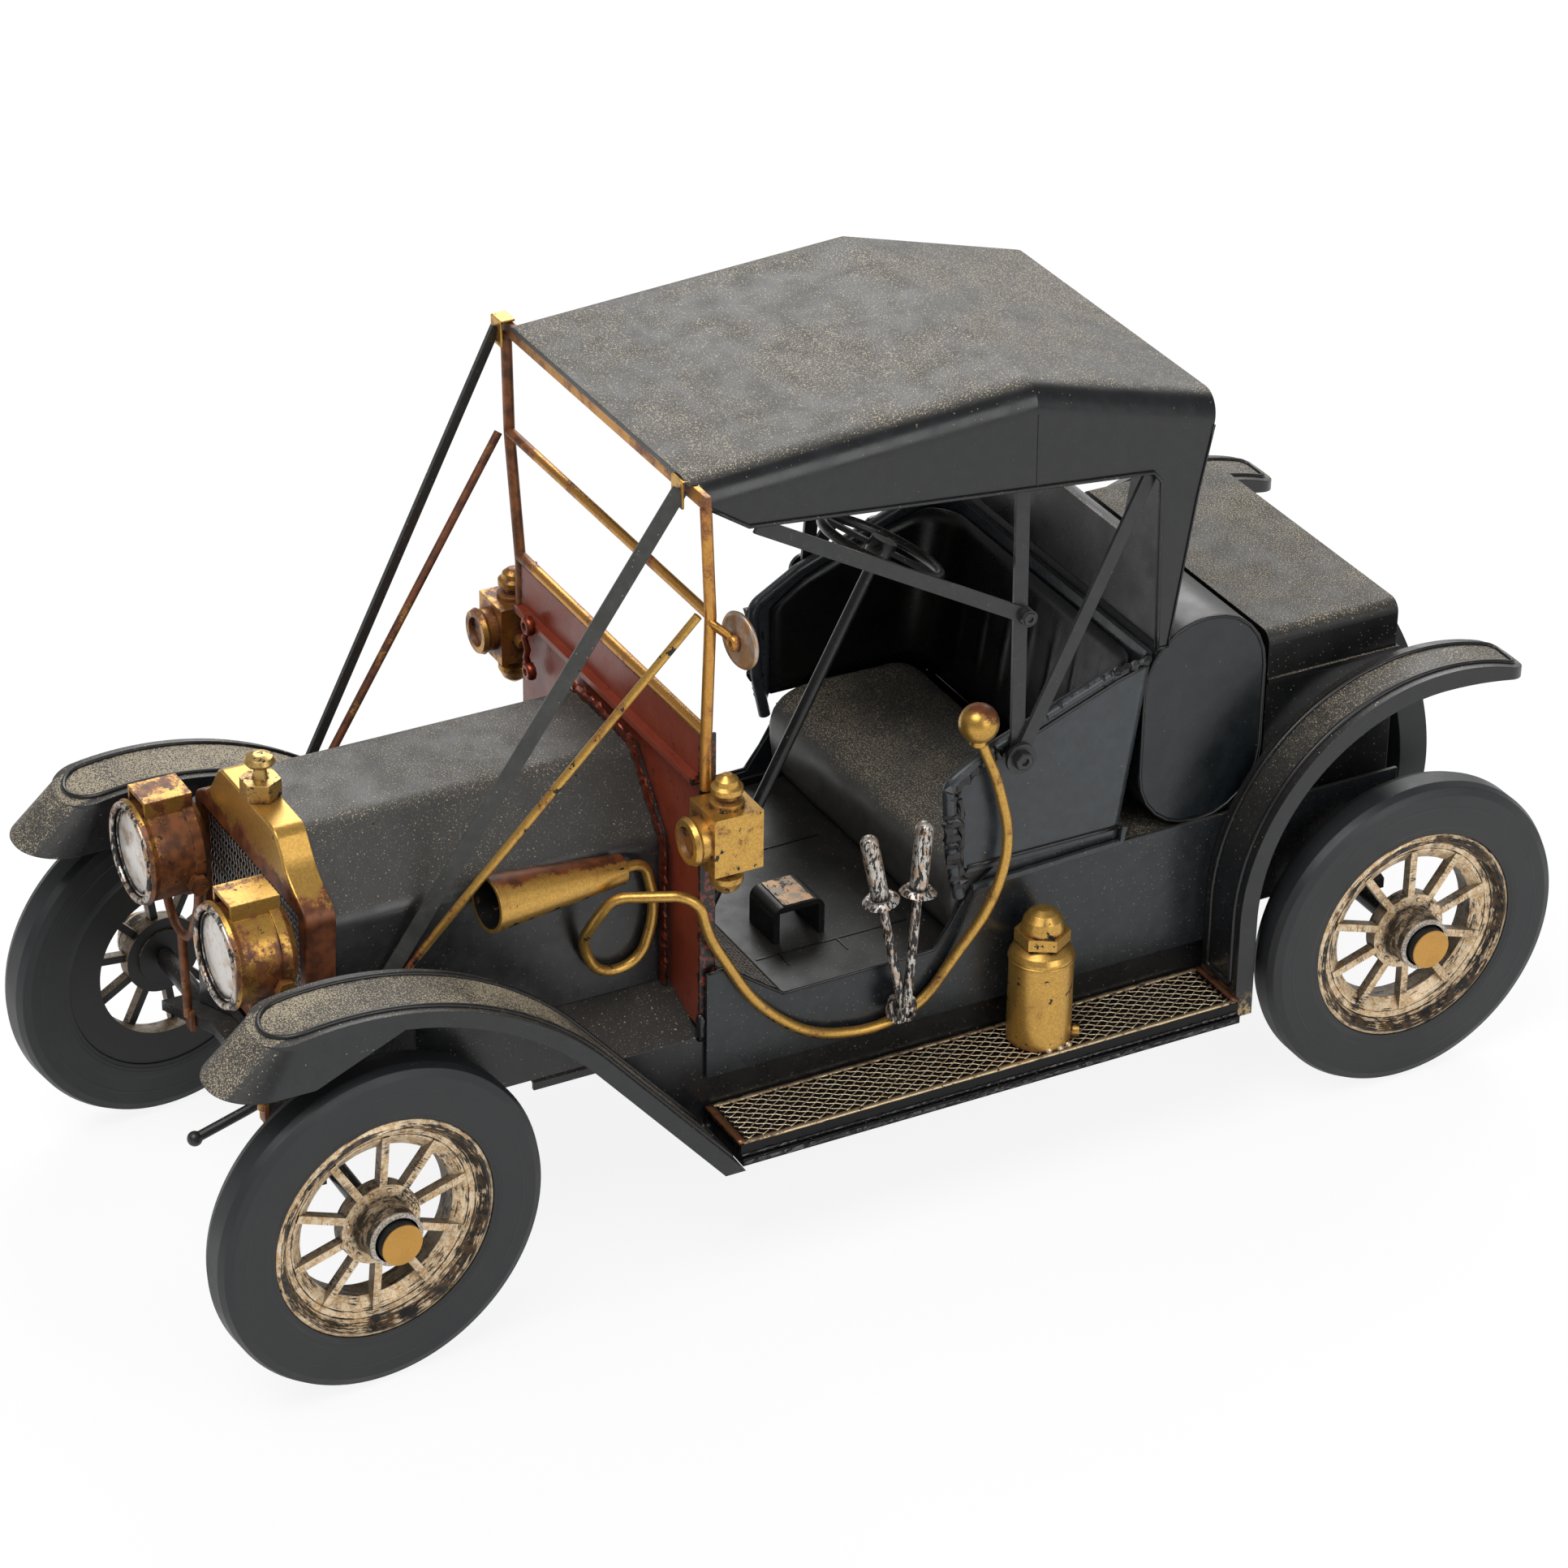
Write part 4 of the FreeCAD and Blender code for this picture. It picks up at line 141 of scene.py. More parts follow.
class Material(Graph):
    """A new material, whose patterns lie in millimetres on the object that wears it."""

    def __init__(self, name):
        self.material = bpy.data.materials.new(name)
        super().__init__(self.material, "OutputMaterial")
        self.normal = self.new("NewGeometry").outputs["Normal"]
        scaled = self.vector("SCALE", self.new("TexCoord").outputs["Object"])
        scaled.inputs["Scale"].default_value = 1 / MM
        self.place = scaled.outputs[0]
        self.colour = None

    def mix(self, share, a, b):
        """Colour a with a share of colour b over it."""
        n = self.new("Mix")
        n.data_type = "RGBA"
        for i, value in ((0, share), (6, a), (7, b)):
            self.feed(n.inputs[i], value)
        return n.outputs[2]

    def lay(self, share, colour):
        """Cover what is there with a share of a colour."""
        self.colour = self.mix(share, self.colour, colour)

    def ramp(self, value, low, high, start=0.0, end=1.0):
        """From start to end, smoothly, as the value goes from low to high."""
        n = self.new("MapRange")
        n.interpolation_type = "SMOOTHSTEP"
        for socket, v in zip(n.inputs, (value, low, high, start, end)):
            self.feed(socket, v)
        return n.outputs[0]

    def along(self, direction, place=None):
        """How far along a direction each point lies."""
        place = self.place if place is None else place
        return self.vector("DOT_PRODUCT", place, direction).outputs["Value"]

    def between(self, value, low, high, soft):
        return self.times(self.ramp(value, low - soft, low + soft),
                          self.ramp(value, high + soft, high - soft))

    def noise(self, size, detail, rough=0.55, place=None):
        """Noise whose features are about size across."""
        n = self.new("TexNoise", Vector=self.place if place is None else place,
                     Scale=1 / size, Detail=detail, Roughness=rough)
        return n.outputs["Fac"]

    def stretched(self, factors, place=None):
        """A place for streaks: the smaller a factor, the longer they run along that axis."""
        place = self.place if place is None else place
        return self.vector("MULTIPLY", place, factors).outputs[0]

    def specks(self, size, share, radius):
        """Round dots, one to a cell of that size in that share of the cells."""
        n = self.new("TexVoronoi", Vector=self.place, Scale=1 / size)
        split = self.new("SeparateColor", Color=n.outputs["Color"])
        dot = self.ramp(n.outputs["Distance"], radius, radius * 0.55)
        return self.times(dot, self.math("LESS_THAN", split.outputs[0], share))

    def facing(self, direction, low, high):
        """1 on faces turned that way; low and high are cosines."""
        return self.ramp(self.along(direction, self.normal), low, high)

    def hollow(self, distance):
        """1 in corners and hollows narrower than that distance, 0 on open faces."""
        n = self.new("AmbientOcclusion", Distance=distance * MM)
        n.samples = 6
        return self.ramp(n.outputs["AO"], 0.9, 0.45)

    def polar(self, centre, axis):
        """Radius, height along the axis, and a place whose streaks follow the circle."""
        away = self.vector("SUBTRACT", self.place, centre).outputs[0]
        height = self.along(axis, away)
        side = Vector(axis).cross(Vector(UP)).normalized()
        across, up = self.along(tuple(side), away), self.along(UP, away)
        radius = self.math("SQRT", self.plus(self.times(across, across), self.times(up, up)))
        angle = self.math("ARCTAN2", up, across)
        circled = self.new("CombineXYZ", X=radius, Y=self.times(angle, 1.6), Z=height)
        return radius, height, circled.outputs[0]

    def bump(self, height, distance, strength, edge=0.0):
        """Relief of that depth; edge is the radius that sharp edges are seen rounded with."""
        n = self.new("Bump", Distance=distance * MM, Strength=strength, Height=height)
        if edge:
            b = self.new("Bevel", Radius=edge * MM)
            b.samples = 4
            self.feed(n.inputs["Normal"], b.outputs[0])
        return n.outputs[0]

    def surface(self, normal, roughness, metallic=0.0, gloss=0.5):
        n = self.new("BsdfPrincipled", Base_Color=self.colour, Normal=normal, Roughness=roughness,
                     Metallic=metallic, Specular_IOR_Level=gloss)
        self.feed(self.output.inputs["Surface"], n.outputs[0])
        return self.material


def shaded(colour, factor):
    return tuple(min(1, c * factor) for c in colour)


# ---- paints and metals
EDGE = 0.22  # radius of a painted edge
DUST_FILM = (0.088, 0.079, 0.066)
DUST_GRAIN = (0.385, 0.325, 0.225)
GOLD_DOT = (0.5, 0.4, 0.24)
PIT = (0.002, 0.002, 0.002)
BARE_METAL = (0.16, 0.13, 0.1)
RUBBED_GOLD = (0.4, 0.27, 0.12)


def black_paint(name, base=(0.006, 0.0066, 0.0075), dust=0.5, roughness=0.31, speck=1.0,
                edge=EDGE, rubbed=0.0, lean=0.15, gloss=0.5, panel=None, gold_below=None):
    """Satin black paint under grains of pale gold dust, thickest on top.

    dust is how much lies there, speck how many coarse grains every face has, and lean how far
    up a face has to look to hold dust.  rubbed is how much metal shows through.
    panel is (centre, half width) of the strips on both sides of the car that hold more dust.
    Below the height gold_below the paint is rubbed through to gold.
    """
    g = Material("paint_" + name)
    up = g.facing(UP, lean, max(0.95, lean + 0.22))
    film = g.times(up, g.ramp(g.noise(17, 3, 0.6), 0.38, 0.6, 0.72, 1.0), dust)
    if panel:
        centre, half = panel
        across = g.math("ABSOLUTE", g.minus(g.math("ABSOLUTE", g.along(LEFT)), centre))
        film = g.times(film, g.ramp(across, half - 0.4, half + 0.3, 1.0, 0.45))
    # the thicker the film, the more of the fine noise counts as grains
    threshold = g.math("MULTIPLY_ADD", film, -0.18, 0.745 - 0.018 * speck)
    grains = g.ramp(g.noise(0.27, 2, 0.65), threshold, g.plus(threshold, 0.07))
    g.colour = g.mix(g.ramp(g.noise(2.2, 3, 0.6), 0.3, 0.7, 0.0, 0.6), base, shaded(base, 1.7))
    g.lay(g.times(film, 0.45), DUST_FILM)
    g.lay(grains, DUST_GRAIN)
    dots = g.either(g.specks(0.85, 0.24, 0.16), g.specks(2.4, 0.26, 0.08))
    dots = g.times(dots, g.math("MULTIPLY_ADD", up, 0.6, 0.4), 0.85 * speck)
    g.lay(dots, GOLD_DOT)
    pits = g.specks(4.2, 0.1, 0.07)
    g.lay(pits, PIT)
    if rubbed:
        g.lay(g.times(g.ramp(g.noise(1.6, 4, 0.7), 0.6, 0.7), rubbed), BARE_METAL)
    if gold_below:
        worn = g.times(g.ramp(g.along(UP), gold_below, gold_below - 6.0),
                       g.ramp(g.noise(1.2, 4, 0.75), 0.44, 0.56))
        g.lay(worn, RUBBED_GOLD)
    rough = g.plus(g.ramp(g.noise(5, 3), 0.3, 0.8, roughness - 0.06, roughness + 0.07), g.times(film, 0.3))
    height = g.plus(g.times(g.noise(0.4, 2), 0.35), g.times(g.noise(7.0, 2), 1.3),
                    g.times(g.minus(grains, g.times(pits, 3.0)), 0.3))
    return g.surface(g.bump(height, 0.05, 0.55, edge), rough, gloss=gloss)


def brass(name, gold=(0.56, 0.325, 0.078), brown=(0.165, 0.048, 0.014), patina=0.5, black=0.1,
          edge=EDGE, size=5.0, chip=2.0, low=None, shade=None, across=None, under=0.5, bore=None):
    """Gold paint with a brown patina in its hollows, black chips, and painted shade in black on faces that
    look down and inside holes.

    patina and black are how much of each there is, size and chip the width of their patches.
    low is (from z, to z, how much): the patina grows over those heights.
    shade is (direction, from, to, how much): it also grows on faces turned that way.
    across is (from x, to x, how much): it also grows from one side of the car to the other.
    under is how much painted shade, in black, the faces that look down get.
    bore is (x, z, radius, rear y, how black) of a hole along the car whose inside is darkened to brown and
    black: painted shade.
    """
    g = Material(name)
    wide = g.noise(size, 4, 0.62)
    fine = g.noise(0.4, 3, 0.7)
    amount = g.plus(g.times(g.ramp(wide, 0.3, 0.7), 0.62), g.times(g.ramp(fine, 0.25, 0.75), 0.3),
                    g.times(g.hollow(2.4), 0.42))
    for direction, spread_over in ((UP, low), (LEFT, across)):
        if spread_over:
            start, end, most = spread_over
            amount = g.plus(amount, g.ramp(g.along(direction), start, end, 0.0, most))
    if shade:
        direction, start, end, most = shade
        amount = g.plus(amount, g.times(g.facing(direction, start, end), most))
    worn = g.ramp(amount, 1.05 - 0.9 * patina, 1.5 - 0.9 * patina)
    # black chips from noise and narrow hollows, plus painted shade: more black on faces that look down
    chipped = g.plus(g.noise(chip, 4, 0.68), g.times(g.facing(DOWN, 0.2, 0.9), 0.22 * under),
                     g.times(g.hollow(0.9), 0.12))
    # painted shade: the inside of the hole is darkened to brown and black
    if bore:
        x, z, radius, back, inside_shade = bore
        away = g.stretched((1, 0, 1), g.vector("SUBTRACT", g.place, (x, 0, z)).outputs[0])
        inward = g.along(g.vector("NORMALIZE", away).outputs[0], g.normal)
        reach = g.vector("LENGTH", away).outputs["Value"]
        inside = g.either(g.ramp(inward, -0.2, -0.6), g.ramp(reach, radius + 0.1, radius - 0.1))
        inside = g.times(inside, g.ramp(g.along(REAR), back + 0.5, back))
        chipped = g.plus(chipped, g.times(inside, inside_shade))
        worn = g.either(worn, g.times(inside, 0.75))
    # black chips together with the painted shade from faces that look down and from inside holes
    chips = g.ramp(chipped, 0.74 - 0.25 * black, 0.755 - 0.25 * black)
    tone = g.mix(g.ramp(fine, 0.3, 0.7), shaded(gold, 0.8), shaded(gold, 1.14))
    deep = g.mix(g.ramp(g.noise(2.4, 3), 0.35, 0.65), brown, shaded(brown, 0.4))
    tan = tuple(0.42 * a + 0.58 * b for a, b in zip(gold, brown))
    g.colour = g.mix(g.ramp(worn, 0.0, 0.55), tone, tan)
    g.lay(g.ramp(worn, 0.4, 1.0), deep)
    g.lay(chips, (0.006, 0.005, 0.005))
    cover = g.either(worn, chips)
    height = g.plus(g.times(fine, 0.4), g.minus(wide, g.times(chips, 0.6)))
    return g.surface(g.bump(height, 0.06, 0.55, edge), g.ramp(cover, 0, 1, 0.33, 0.46),
                     g.ramp(cover, 0, 1, 0.82, 0.22))


def red_oxide(name):
    """Brownish red paint, chipped to black along its edges, black behind, gold along the top."""
    g = Material(name)
    cloud = g.noise(7, 4, 0.6)
    g.colour = g.mix(cloud, (0.13, 0.02, 0.009), (0.26, 0.048, 0.022))
    g.lay(g.ramp(g.noise(2.0, 4, 0.7), 0.58, 0.74), (0.04, 0.011, 0.008))
    outer = g.ramp(g.math("ABSOLUTE", g.along(LEFT)), 32.2, 34.0)
    chips = g.ramp(g.plus(g.times(outer, 0.3), g.noise(1.3, 4, 0.7)), 0.74, 0.78)
    g.lay(chips, (0.008, 0.006, 0.005))
    g.lay(g.facing(REAR, 0.3, 0.7), (0.01, 0.01, 0.011))
    trim = g.times(g.ramp(g.along(UP), 96.4, 96.7), g.facing(UP, 0.3, 0.6))
    gold = g.mix(g.ramp(g.noise(1.8, 4), 0.4, 0.6), (0.5, 0.28, 0.07), (0.06, 0.025, 0.012))
    g.lay(trim, gold)
    return g.surface(g.bump(g.noise(1.2, 3), 0.07, 0.6, EDGE), g.ramp(cloud, 0.3, 0.7, 0.3, 0.44))


def steel(name, dark, warm, tone, size=1.3, below=None):
    """Bright metal brushed over black: black stays in the hollows and in rubbed patches.

    dark is how much black there is, size the width of its patches, warm how much rust.
    below is (z, how much more black there is under it).
    """
    g = Material(name)
    streak = g.noise(0.35, 3, 0.65, place=g.stretched((1, 1, 0.22)))
    g.colour = g.mix(streak, shaded(tone, 0.65), shaded(tone, 1.3))
    rust = g.times(g.ramp(g.noise(2.2, 3), 0.42, 0.62), warm)
    g.lay(rust, (0.42, 0.24, 0.12))
    rubbed = g.plus(g.noise(size, 4, 0.72, place=g.stretched((1, 1, 0.3))), g.times(g.hollow(0.9), 0.25))
    if below:
        z, more = below
        rubbed = g.plus(rubbed, g.ramp(g.along(UP), z + 1.0, z - 1.0, 0.0, more))
    cover = g.ramp(rubbed, 0.74 - 0.34 * dark, 0.79 - 0.34 * dark)
    g.lay(cover, (0.01, 0.009, 0.009))
    return g.surface(g.bump(g.minus(streak, cover), 0.04, 0.5, 0.1), g.ramp(cover, 0, 1, 0.36, 0.5),
                     g.ramp(cover, 0, 1, 0.75, 0.1))


PALE = (0.76, 0.585, 0.375)
STRAW = (0.5, 0.29, 0.1)


def brushed_wheel(name, centre, axis, cover=1.0):
    """Black wheel over whose outward faces a nearly dry brush of pale gold went in circles."""
    g = Material(name)
    radius, height, circled = g.polar(centre, axis)
    streak = g.noise(0.24, 4, 0.78, place=g.stretched((1, 0.8, 0.4), circled))
    fine = g.noise(0.3, 3, 0.75)
    outward = g.facing(axis, -0.25, 0.45)
    # the rim's hollow band, the foot of the hub and two turned grooves take less of the brush
    band = g.either(g.between(radius, 17.9, 19.6, 0.3),
                    g.times(g.between(radius, 4.9, 7.4, 0.1), g.hollow(1.4)))
    grooves = g.either(g.between(radius, 16.45, 16.6, 0.12), g.between(radius, 17.6, 17.75, 0.12))
    want = g.plus(g.times(streak, 0.62), g.times(g.noise(4.0, 3, 0.6), 0.38))
    want = g.minus(want, g.plus(g.times(band, 0.115), g.times(grooves, 0.16)))
    brushed = g.times(g.ramp(want, 0.415, 0.475), outward, cover)
    tone = g.mix(g.ramp(g.noise(1.3, 3, 0.6), 0.38, 0.62), PALE, STRAW)
    tone = g.mix(g.ramp(fine, 0.4, 0.7, 0.0, 0.75), tone, (0.88, 0.77, 0.61))
    rust = g.times(g.ramp(g.noise(1.8, 3), 0.45, 0.62), outward)
    ground = g.mix(rust, (0.008, 0.0075, 0.007), (0.07, 0.038, 0.016))
    g.colour = g.mix(brushed, ground, tone)
    # the hub: dark barrel, bright ring, dark well and gold cap
    barrel = g.times(g.ramp(height, 2.0, 2.3), g.ramp(radius, 5.6, 5.3))
    barrel = g.times(barrel, g.ramp(g.noise(1.2, 4, 0.7, place=circled), 0.4, 0.56))
    g.lay(barrel, (0.02, 0.014, 0.009))
    ring = g.times(g.ramp(height, 6.5, 6.9), g.between(radius, 4.1, 5.4, 0.05))
    bright = g.mix(g.ramp(fine, 0.35, 0.6), (0.8, 0.77, 0.72), (0.3, 0.24, 0.18))
    g.lay(g.times(ring, cover), bright)
    well = g.times(g.ramp(height, 4.5, 4.9), g.ramp(radius, 4.14, 4.08))
    g.lay(well, (0.005, 0.005, 0.005))
    cap = g.times(g.ramp(height, 8.7, 8.8), g.ramp(radius, 3.9, 3.8))
    gold = g.mix(fine, (0.42, 0.2, 0.035), (0.66, 0.36, 0.075))
    g.lay(g.times(cap, cover), gold)
    metal = g.times(g.either(brushed, cap), 0.45)
    relief = g.plus(g.times(brushed, 0.6), g.plus(g.times(streak, 0.8), fine))
    return g.surface(g.bump(relief, 0.05, 0.7, 0.1), g.ramp(brushed, 0, 1, 0.5, 0.46), metal)


def rubber(name, centre, axis):
    """Dull black rubber with faint moulding rings and a little dust."""
    g = Material(name)
    radius, _, circled = g.polar(centre, axis)
    cloud = g.noise(9, 3)
    g.colour = g.mix(cloud, (0.0085, 0.0095, 0.0108), (0.0165, 0.0178, 0.0195))
    scuff = g.ramp(g.noise(2.6, 4, 0.7, place=g.stretched((1, 0.5, 1), circled)), 0.6, 0.75)
    g.lay(g.times(scuff, 0.5), (0.04, 0.041, 0.042))
    dots = g.times(g.specks(0.9, 0.22, 0.13), g.math("MULTIPLY_ADD", g.facing(UP, 0.5, 1.0), 0.5, 0.1))
    g.lay(dots, (0.2, 0.18, 0.14))
    rings = g.either(g.between(radius, 21.0, 21.3, 0.12), g.between(radius, 25.6, 25.8, 0.12))
    relief = g.plus(g.noise(1.6, 3), g.times(rings, 1.6))
    return g.surface(g.bump(relief, 0.05, 0.6, 0.3), g.ramp(cloud, 0.3, 0.7, 0.42, 0.54))


LENS_X, LENS_Z = 18.4, 69.1  # the headlamps' centres


def lens_glass(name):
    """Silver-white painted lens, brushed, warm in places, black in pits round its rim."""
    g = Material(name)
    streak = g.noise(0.6, 4, 0.65, place=g.stretched((1.0, 1.0, 0.25)))
    g.colour = g.mix(streak, (0.46, 0.42, 0.38), (0.72, 0.7, 0.67))
    warm = g.ramp(g.noise(2.6, 4, 0.65), 0.48, 0.66, 0.0, 0.75)
    g.lay(warm, (0.36, 0.235, 0.135))
    across = g.minus(g.math("ABSOLUTE", g.along(LEFT)), LENS_X)
    rise = g.minus(g.along(UP), LENS_Z)
    radius = g.math("SQRT", g.plus(g.times(across, across), g.times(rise, rise)))
    pits = g.plus(g.noise(0.7, 4, 0.75), g.ramp(radius, 5.2, 7.8, 0.0, 0.28))
    cover = g.ramp(pits, 0.7, 0.76)
    g.lay(cover, (0.012, 0.01, 0.009))
    return g.surface(g.bump(g.minus(streak, cover), 0.04, 0.6), g.ramp(cover, 0, 1, 0.3, 0.5),
                     g.ramp(cover, 0, 1, 0.35, 0.0))


make_camera()
PAINT = black_paint("black", dust=0.55)
DUSTY = black_paint("dusty", dust=1.0, speck=1.2, lean=0.74)
# lighter than the plain black paint: painted sheen on the bonnet's sides
BONNET_SHEEN = black_paint("bonnet", base=(0.019, 0.0194, 0.0196), dust=0.86)
TANK = black_paint("tank", base=(0.0045, 0.0065, 0.008), dust=0.4, roughness=0.3, speck=0.6)
# darker and less glossy than the plain black paint: painted shade on the trunk's sides; the dust on its
# top is dust
TRUNK_SHADE = black_paint("trunk", base=(0.004, 0.0043, 0.0047), dust=1.12, roughness=0.34, gloss=0.36)
# lighter and bluer than the plain black paint: painted sheen on the body's sides
BODY_SHEEN = black_paint("body", base=(0.0105, 0.013, 0.015), roughness=0.3, speck=0.9)
# lighter and bluer again than the plain black paint: painted sheen on the seat's sides
SEAT_SIDE_SHEEN = black_paint("seat_side", base=(0.0215, 0.0262, 0.03), dust=0.4, roughness=0.3, speck=0.9)
FRONT_FENDER = black_paint("fender_front", base=(0.009, 0.0098, 0.0108), dust=1.5,
                           speck=1.3, panel=(42.3, 5.2))
REAR_FENDER = black_paint("fender_rear", dust=1.0, speck=1.4, panel=(40.8, 3.7), gold_below=27.0)
# darker, less dusty and less glossy than the plain black paint: painted shade inside the seat
INSIDE_SHADE = black_paint("inside", base=(0.004, 0.0042, 0.0045), dust=0.18, speck=0.35,
                     rubbed=0.05, gloss=0.35)
DECK = black_paint("deck", base=(0.003, 0.003, 0.003), dust=0.0, speck=0.5, gloss=0.2)
SEAT = black_paint("seat", base=(0.033, 0.032, 0.03), dust=1.2, roughness=0.44, speck=0.8)
FLOOR = black_paint("floor", dust=0.42, speck=0.5, rubbed=0.1, gloss=0.36)
DARK = black_paint("dark", base=(0.004, 0.004, 0.0045), dust=0.0, speck=0.1)
STRAP = black_paint("strap", base=(0.028, 0.0285, 0.0265), dust=0.45, roughness=0.42,
                    speck=1.2, edge=0.1, rubbed=0.2)
IRON = black_paint("iron", base=(0.012, 0.0125, 0.013), dust=0.25, speck=0.4, edge=0.1, rubbed=0.15)
BEAD = black_paint("bead", base=(0.005, 0.005, 0.0055), dust=0.12, speck=0.6, edge=0, rubbed=0.25)
WELD = black_paint("weld", base=(0.004, 0.004, 0.004), dust=0.05, roughness=0.28, speck=0.3, edge=0)
BRASS = brass("brass", patina=0.55, black=0.3)
CAP = brass("brass_cap", gold=(0.5, 0.33, 0.11), patina=0.55, black=0.62, chip=1.1)
SHELL = brass("brass_shell", patina=0.42, black=0.16, size=6.0, brown=(0.178, 0.05, 0.014),
              low=(81.5, 71.0, 1.15), shade=(FRONT, 0.4, 0.9, 0.16))
LAMP = brass("brass_lamp", gold=(0.5, 0.285, 0.062), brown=(0.2, 0.064, 0.018), patina=0.66,
             black=0.36, size=3.5, low=(80.0, 70.0, 0.34), across=(10.0, -10.0, 0.26))
BULB = brass("brass_bulb", gold=(0.52, 0.3, 0.066), patina=0.44, shade=((0, 0.6, 0.8), 0.1, 0.9, 0.65))
HORN = brass("brass_horn", black=0.25, shade=((-0.3, 0, 1), 0.45, 1.0, 0.95), under=1.0,
             bore=(27.6, 71.9, 0.2, -46.0, 0.3))
BOTTLE = brass("brass_bottle", black=0.42, size=8.0, chip=3.2)
ROD = brass("brass_rod", patina=0.62, black=0.46, size=7.0, chip=3.5, across=(10.0, -20.0, 0.55),
            low=(84.0, 60.0, 0.25), under=0.9)
TUBE = brass("brass_tube", patina=0.58, black=0.3, size=4.0, under=1.0)
FRAME = brass("brass_frame", gold=(0.56, 0.275, 0.062), brown=(0.235, 0.078, 0.022), patina=0.74,
              black=0.28, size=8.0, chip=3.0, across=(-24.0, -37.0, 0.55))
LAMP_FAR = brass("brass_lamp_far", gold=(0.44, 0.235, 0.055), brown=(0.2, 0.062, 0.02),
                 patina=0.8, black=0.34, size=3.0, bore=(-40.6, 82.4, 2.75, -36.5, 0.08))
LAMP_NEAR = brass("brass_lamp_near", patina=0.58, black=0.36, size=3.0,
                  bore=(40.6, 82.4, 2.75, -36.5, 0.05))
COPPER = brass("copper_brown", gold=(0.27, 0.12, 0.05), brown=(0.1, 0.03, 0.014), patina=0.8, black=0.3)
WORN = brass("brass_worn", gold=(0.56, 0.43, 0.26), brown=(0.09, 0.04, 0.02), patina=0.6,
             black=0.5, size=2.2, edge=0)
RED = red_oxide("oxide_red")
LUMPS = brass("oxide_lumps", gold=(0.24, 0.048, 0.022), brown=(0.07, 0.014, 0.008), patina=0.6,
              black=0.3, edge=0)
STEEL = steel("rivet_steel", dark=0.72, warm=0.7, tone=(0.6, 0.57, 0.53), size=0.6, below=(58.5, 0.035))
GREY_WIRE = steel("grey_wire", dark=0.3, warm=0.4, tone=(0.4, 0.39, 0.37))
STRAW_WIRE = steel("straw_wire", dark=0.05, warm=0.35, tone=(0.72, 0.6, 0.42))
PEDAL = steel("pedal_worn", dark=0.55, warm=0.7, tone=(0.2, 0.165, 0.125))
MIRROR = steel("mirror_face", dark=0.25, warm=1.0, tone=(0.44, 0.37, 0.31))
LENS_RIM = steel("lens_rim", dark=0.75, warm=0.8, tone=(0.5, 0.46, 0.42))
LENS = lens_glass("lens_white")

# the nodes that aren't plain black paint
FINISH = {
    "roof": DUSTY, "bonnet": BONNET_SHEEN, "trunk": TRUNK_SHADE, "rear_shelf": DUSTY, "fuel_tank": TANK,
    "firewall": RED, "windscreen_frame": FRAME, "radiator_shell": SHELL, "radiator_cap": CAP,
    "side_lamp_left": LAMP_NEAR, "side_lamp_right": LAMP_FAR, "horn": HORN, "horn_tube": TUBE,
    "horn_bulb": BULB, "gas_cylinder": BOTTLE, "hand_levers": STEEL, "stay_rods": ROD,
    "straps": STRAP, "hood_irons": IRON, "rear_view_mirror": COPPER, "seat_bench": SEAT,
    "seat_shell": SEAT_SIDE_SHEEN, "floor_pan": FLOOR, "radiator_core": DARK, "pedal_block": FLOOR,
    "starting_crank": IRON, "spare_rim": DECK,
}
for side, _ in SIDES:
    FINISH.update({"body_side_" + side: BODY_SHEEN, "headlamp_" + side: LAMP,
                   "running_board_" + side: DECK, "fender_front_" + side: FRONT_FENDER,
                   "fender_rear_" + side: REAR_FENDER})
# each wheel's centre and the way its outer face looks, from the degrees that it is turned by
HUBS = {}
for corner, sign, y, degrees in (("front_left", 1, -100.4, 5), ("front_right", -1, -100.4, 8),
                                 ("rear_left", 1, 100.4, 0), ("rear_right", -1, 100.4, 0)):
    turn = math.radians(degrees)
    hub = ((sign * 46.1, y, 30.0), (sign * math.cos(turn), sign * math.sin(turn), 0.0))
    HUBS[corner] = hub
    FINISH["tyre_" + corner] = rubber("rubber_" + corner, *hub)
    FINISH["wheel_" + corner] = brushed_wheel("brushed_" + corner, *hub)
SPARE = ((0.0, 114.8, 50.0), REAR)
FINISH["spare_tyre"] = rubber("rubber_spare", *SPARE)
SPARE_FACE = brushed_wheel("brushed_spare", *SPARE, cover=0.8)

for name, part in nodes.items():
    mesh = part.data
    mesh.materials.clear()
    mesh.materials.append(FINISH.get(name, PAINT))
    mesh.polygons.foreach_set("material_index", [0] * len(mesh.polygons))


# ---- how pieces are made
def circle(radius, sides=8):
    turns = [math.tau * i / sides for i in range(sides)]
    return [(radius * math.cos(turn), radius * math.sin(turn)) for turn in turns]


def slab(width, height):
    x, y = width / 2, height / 2
    return [(-x, -y), (x, -y), (x, y), (-x, y)]


rng = random.Random(11)  # one stream for every rough edge, drawn from in the order below


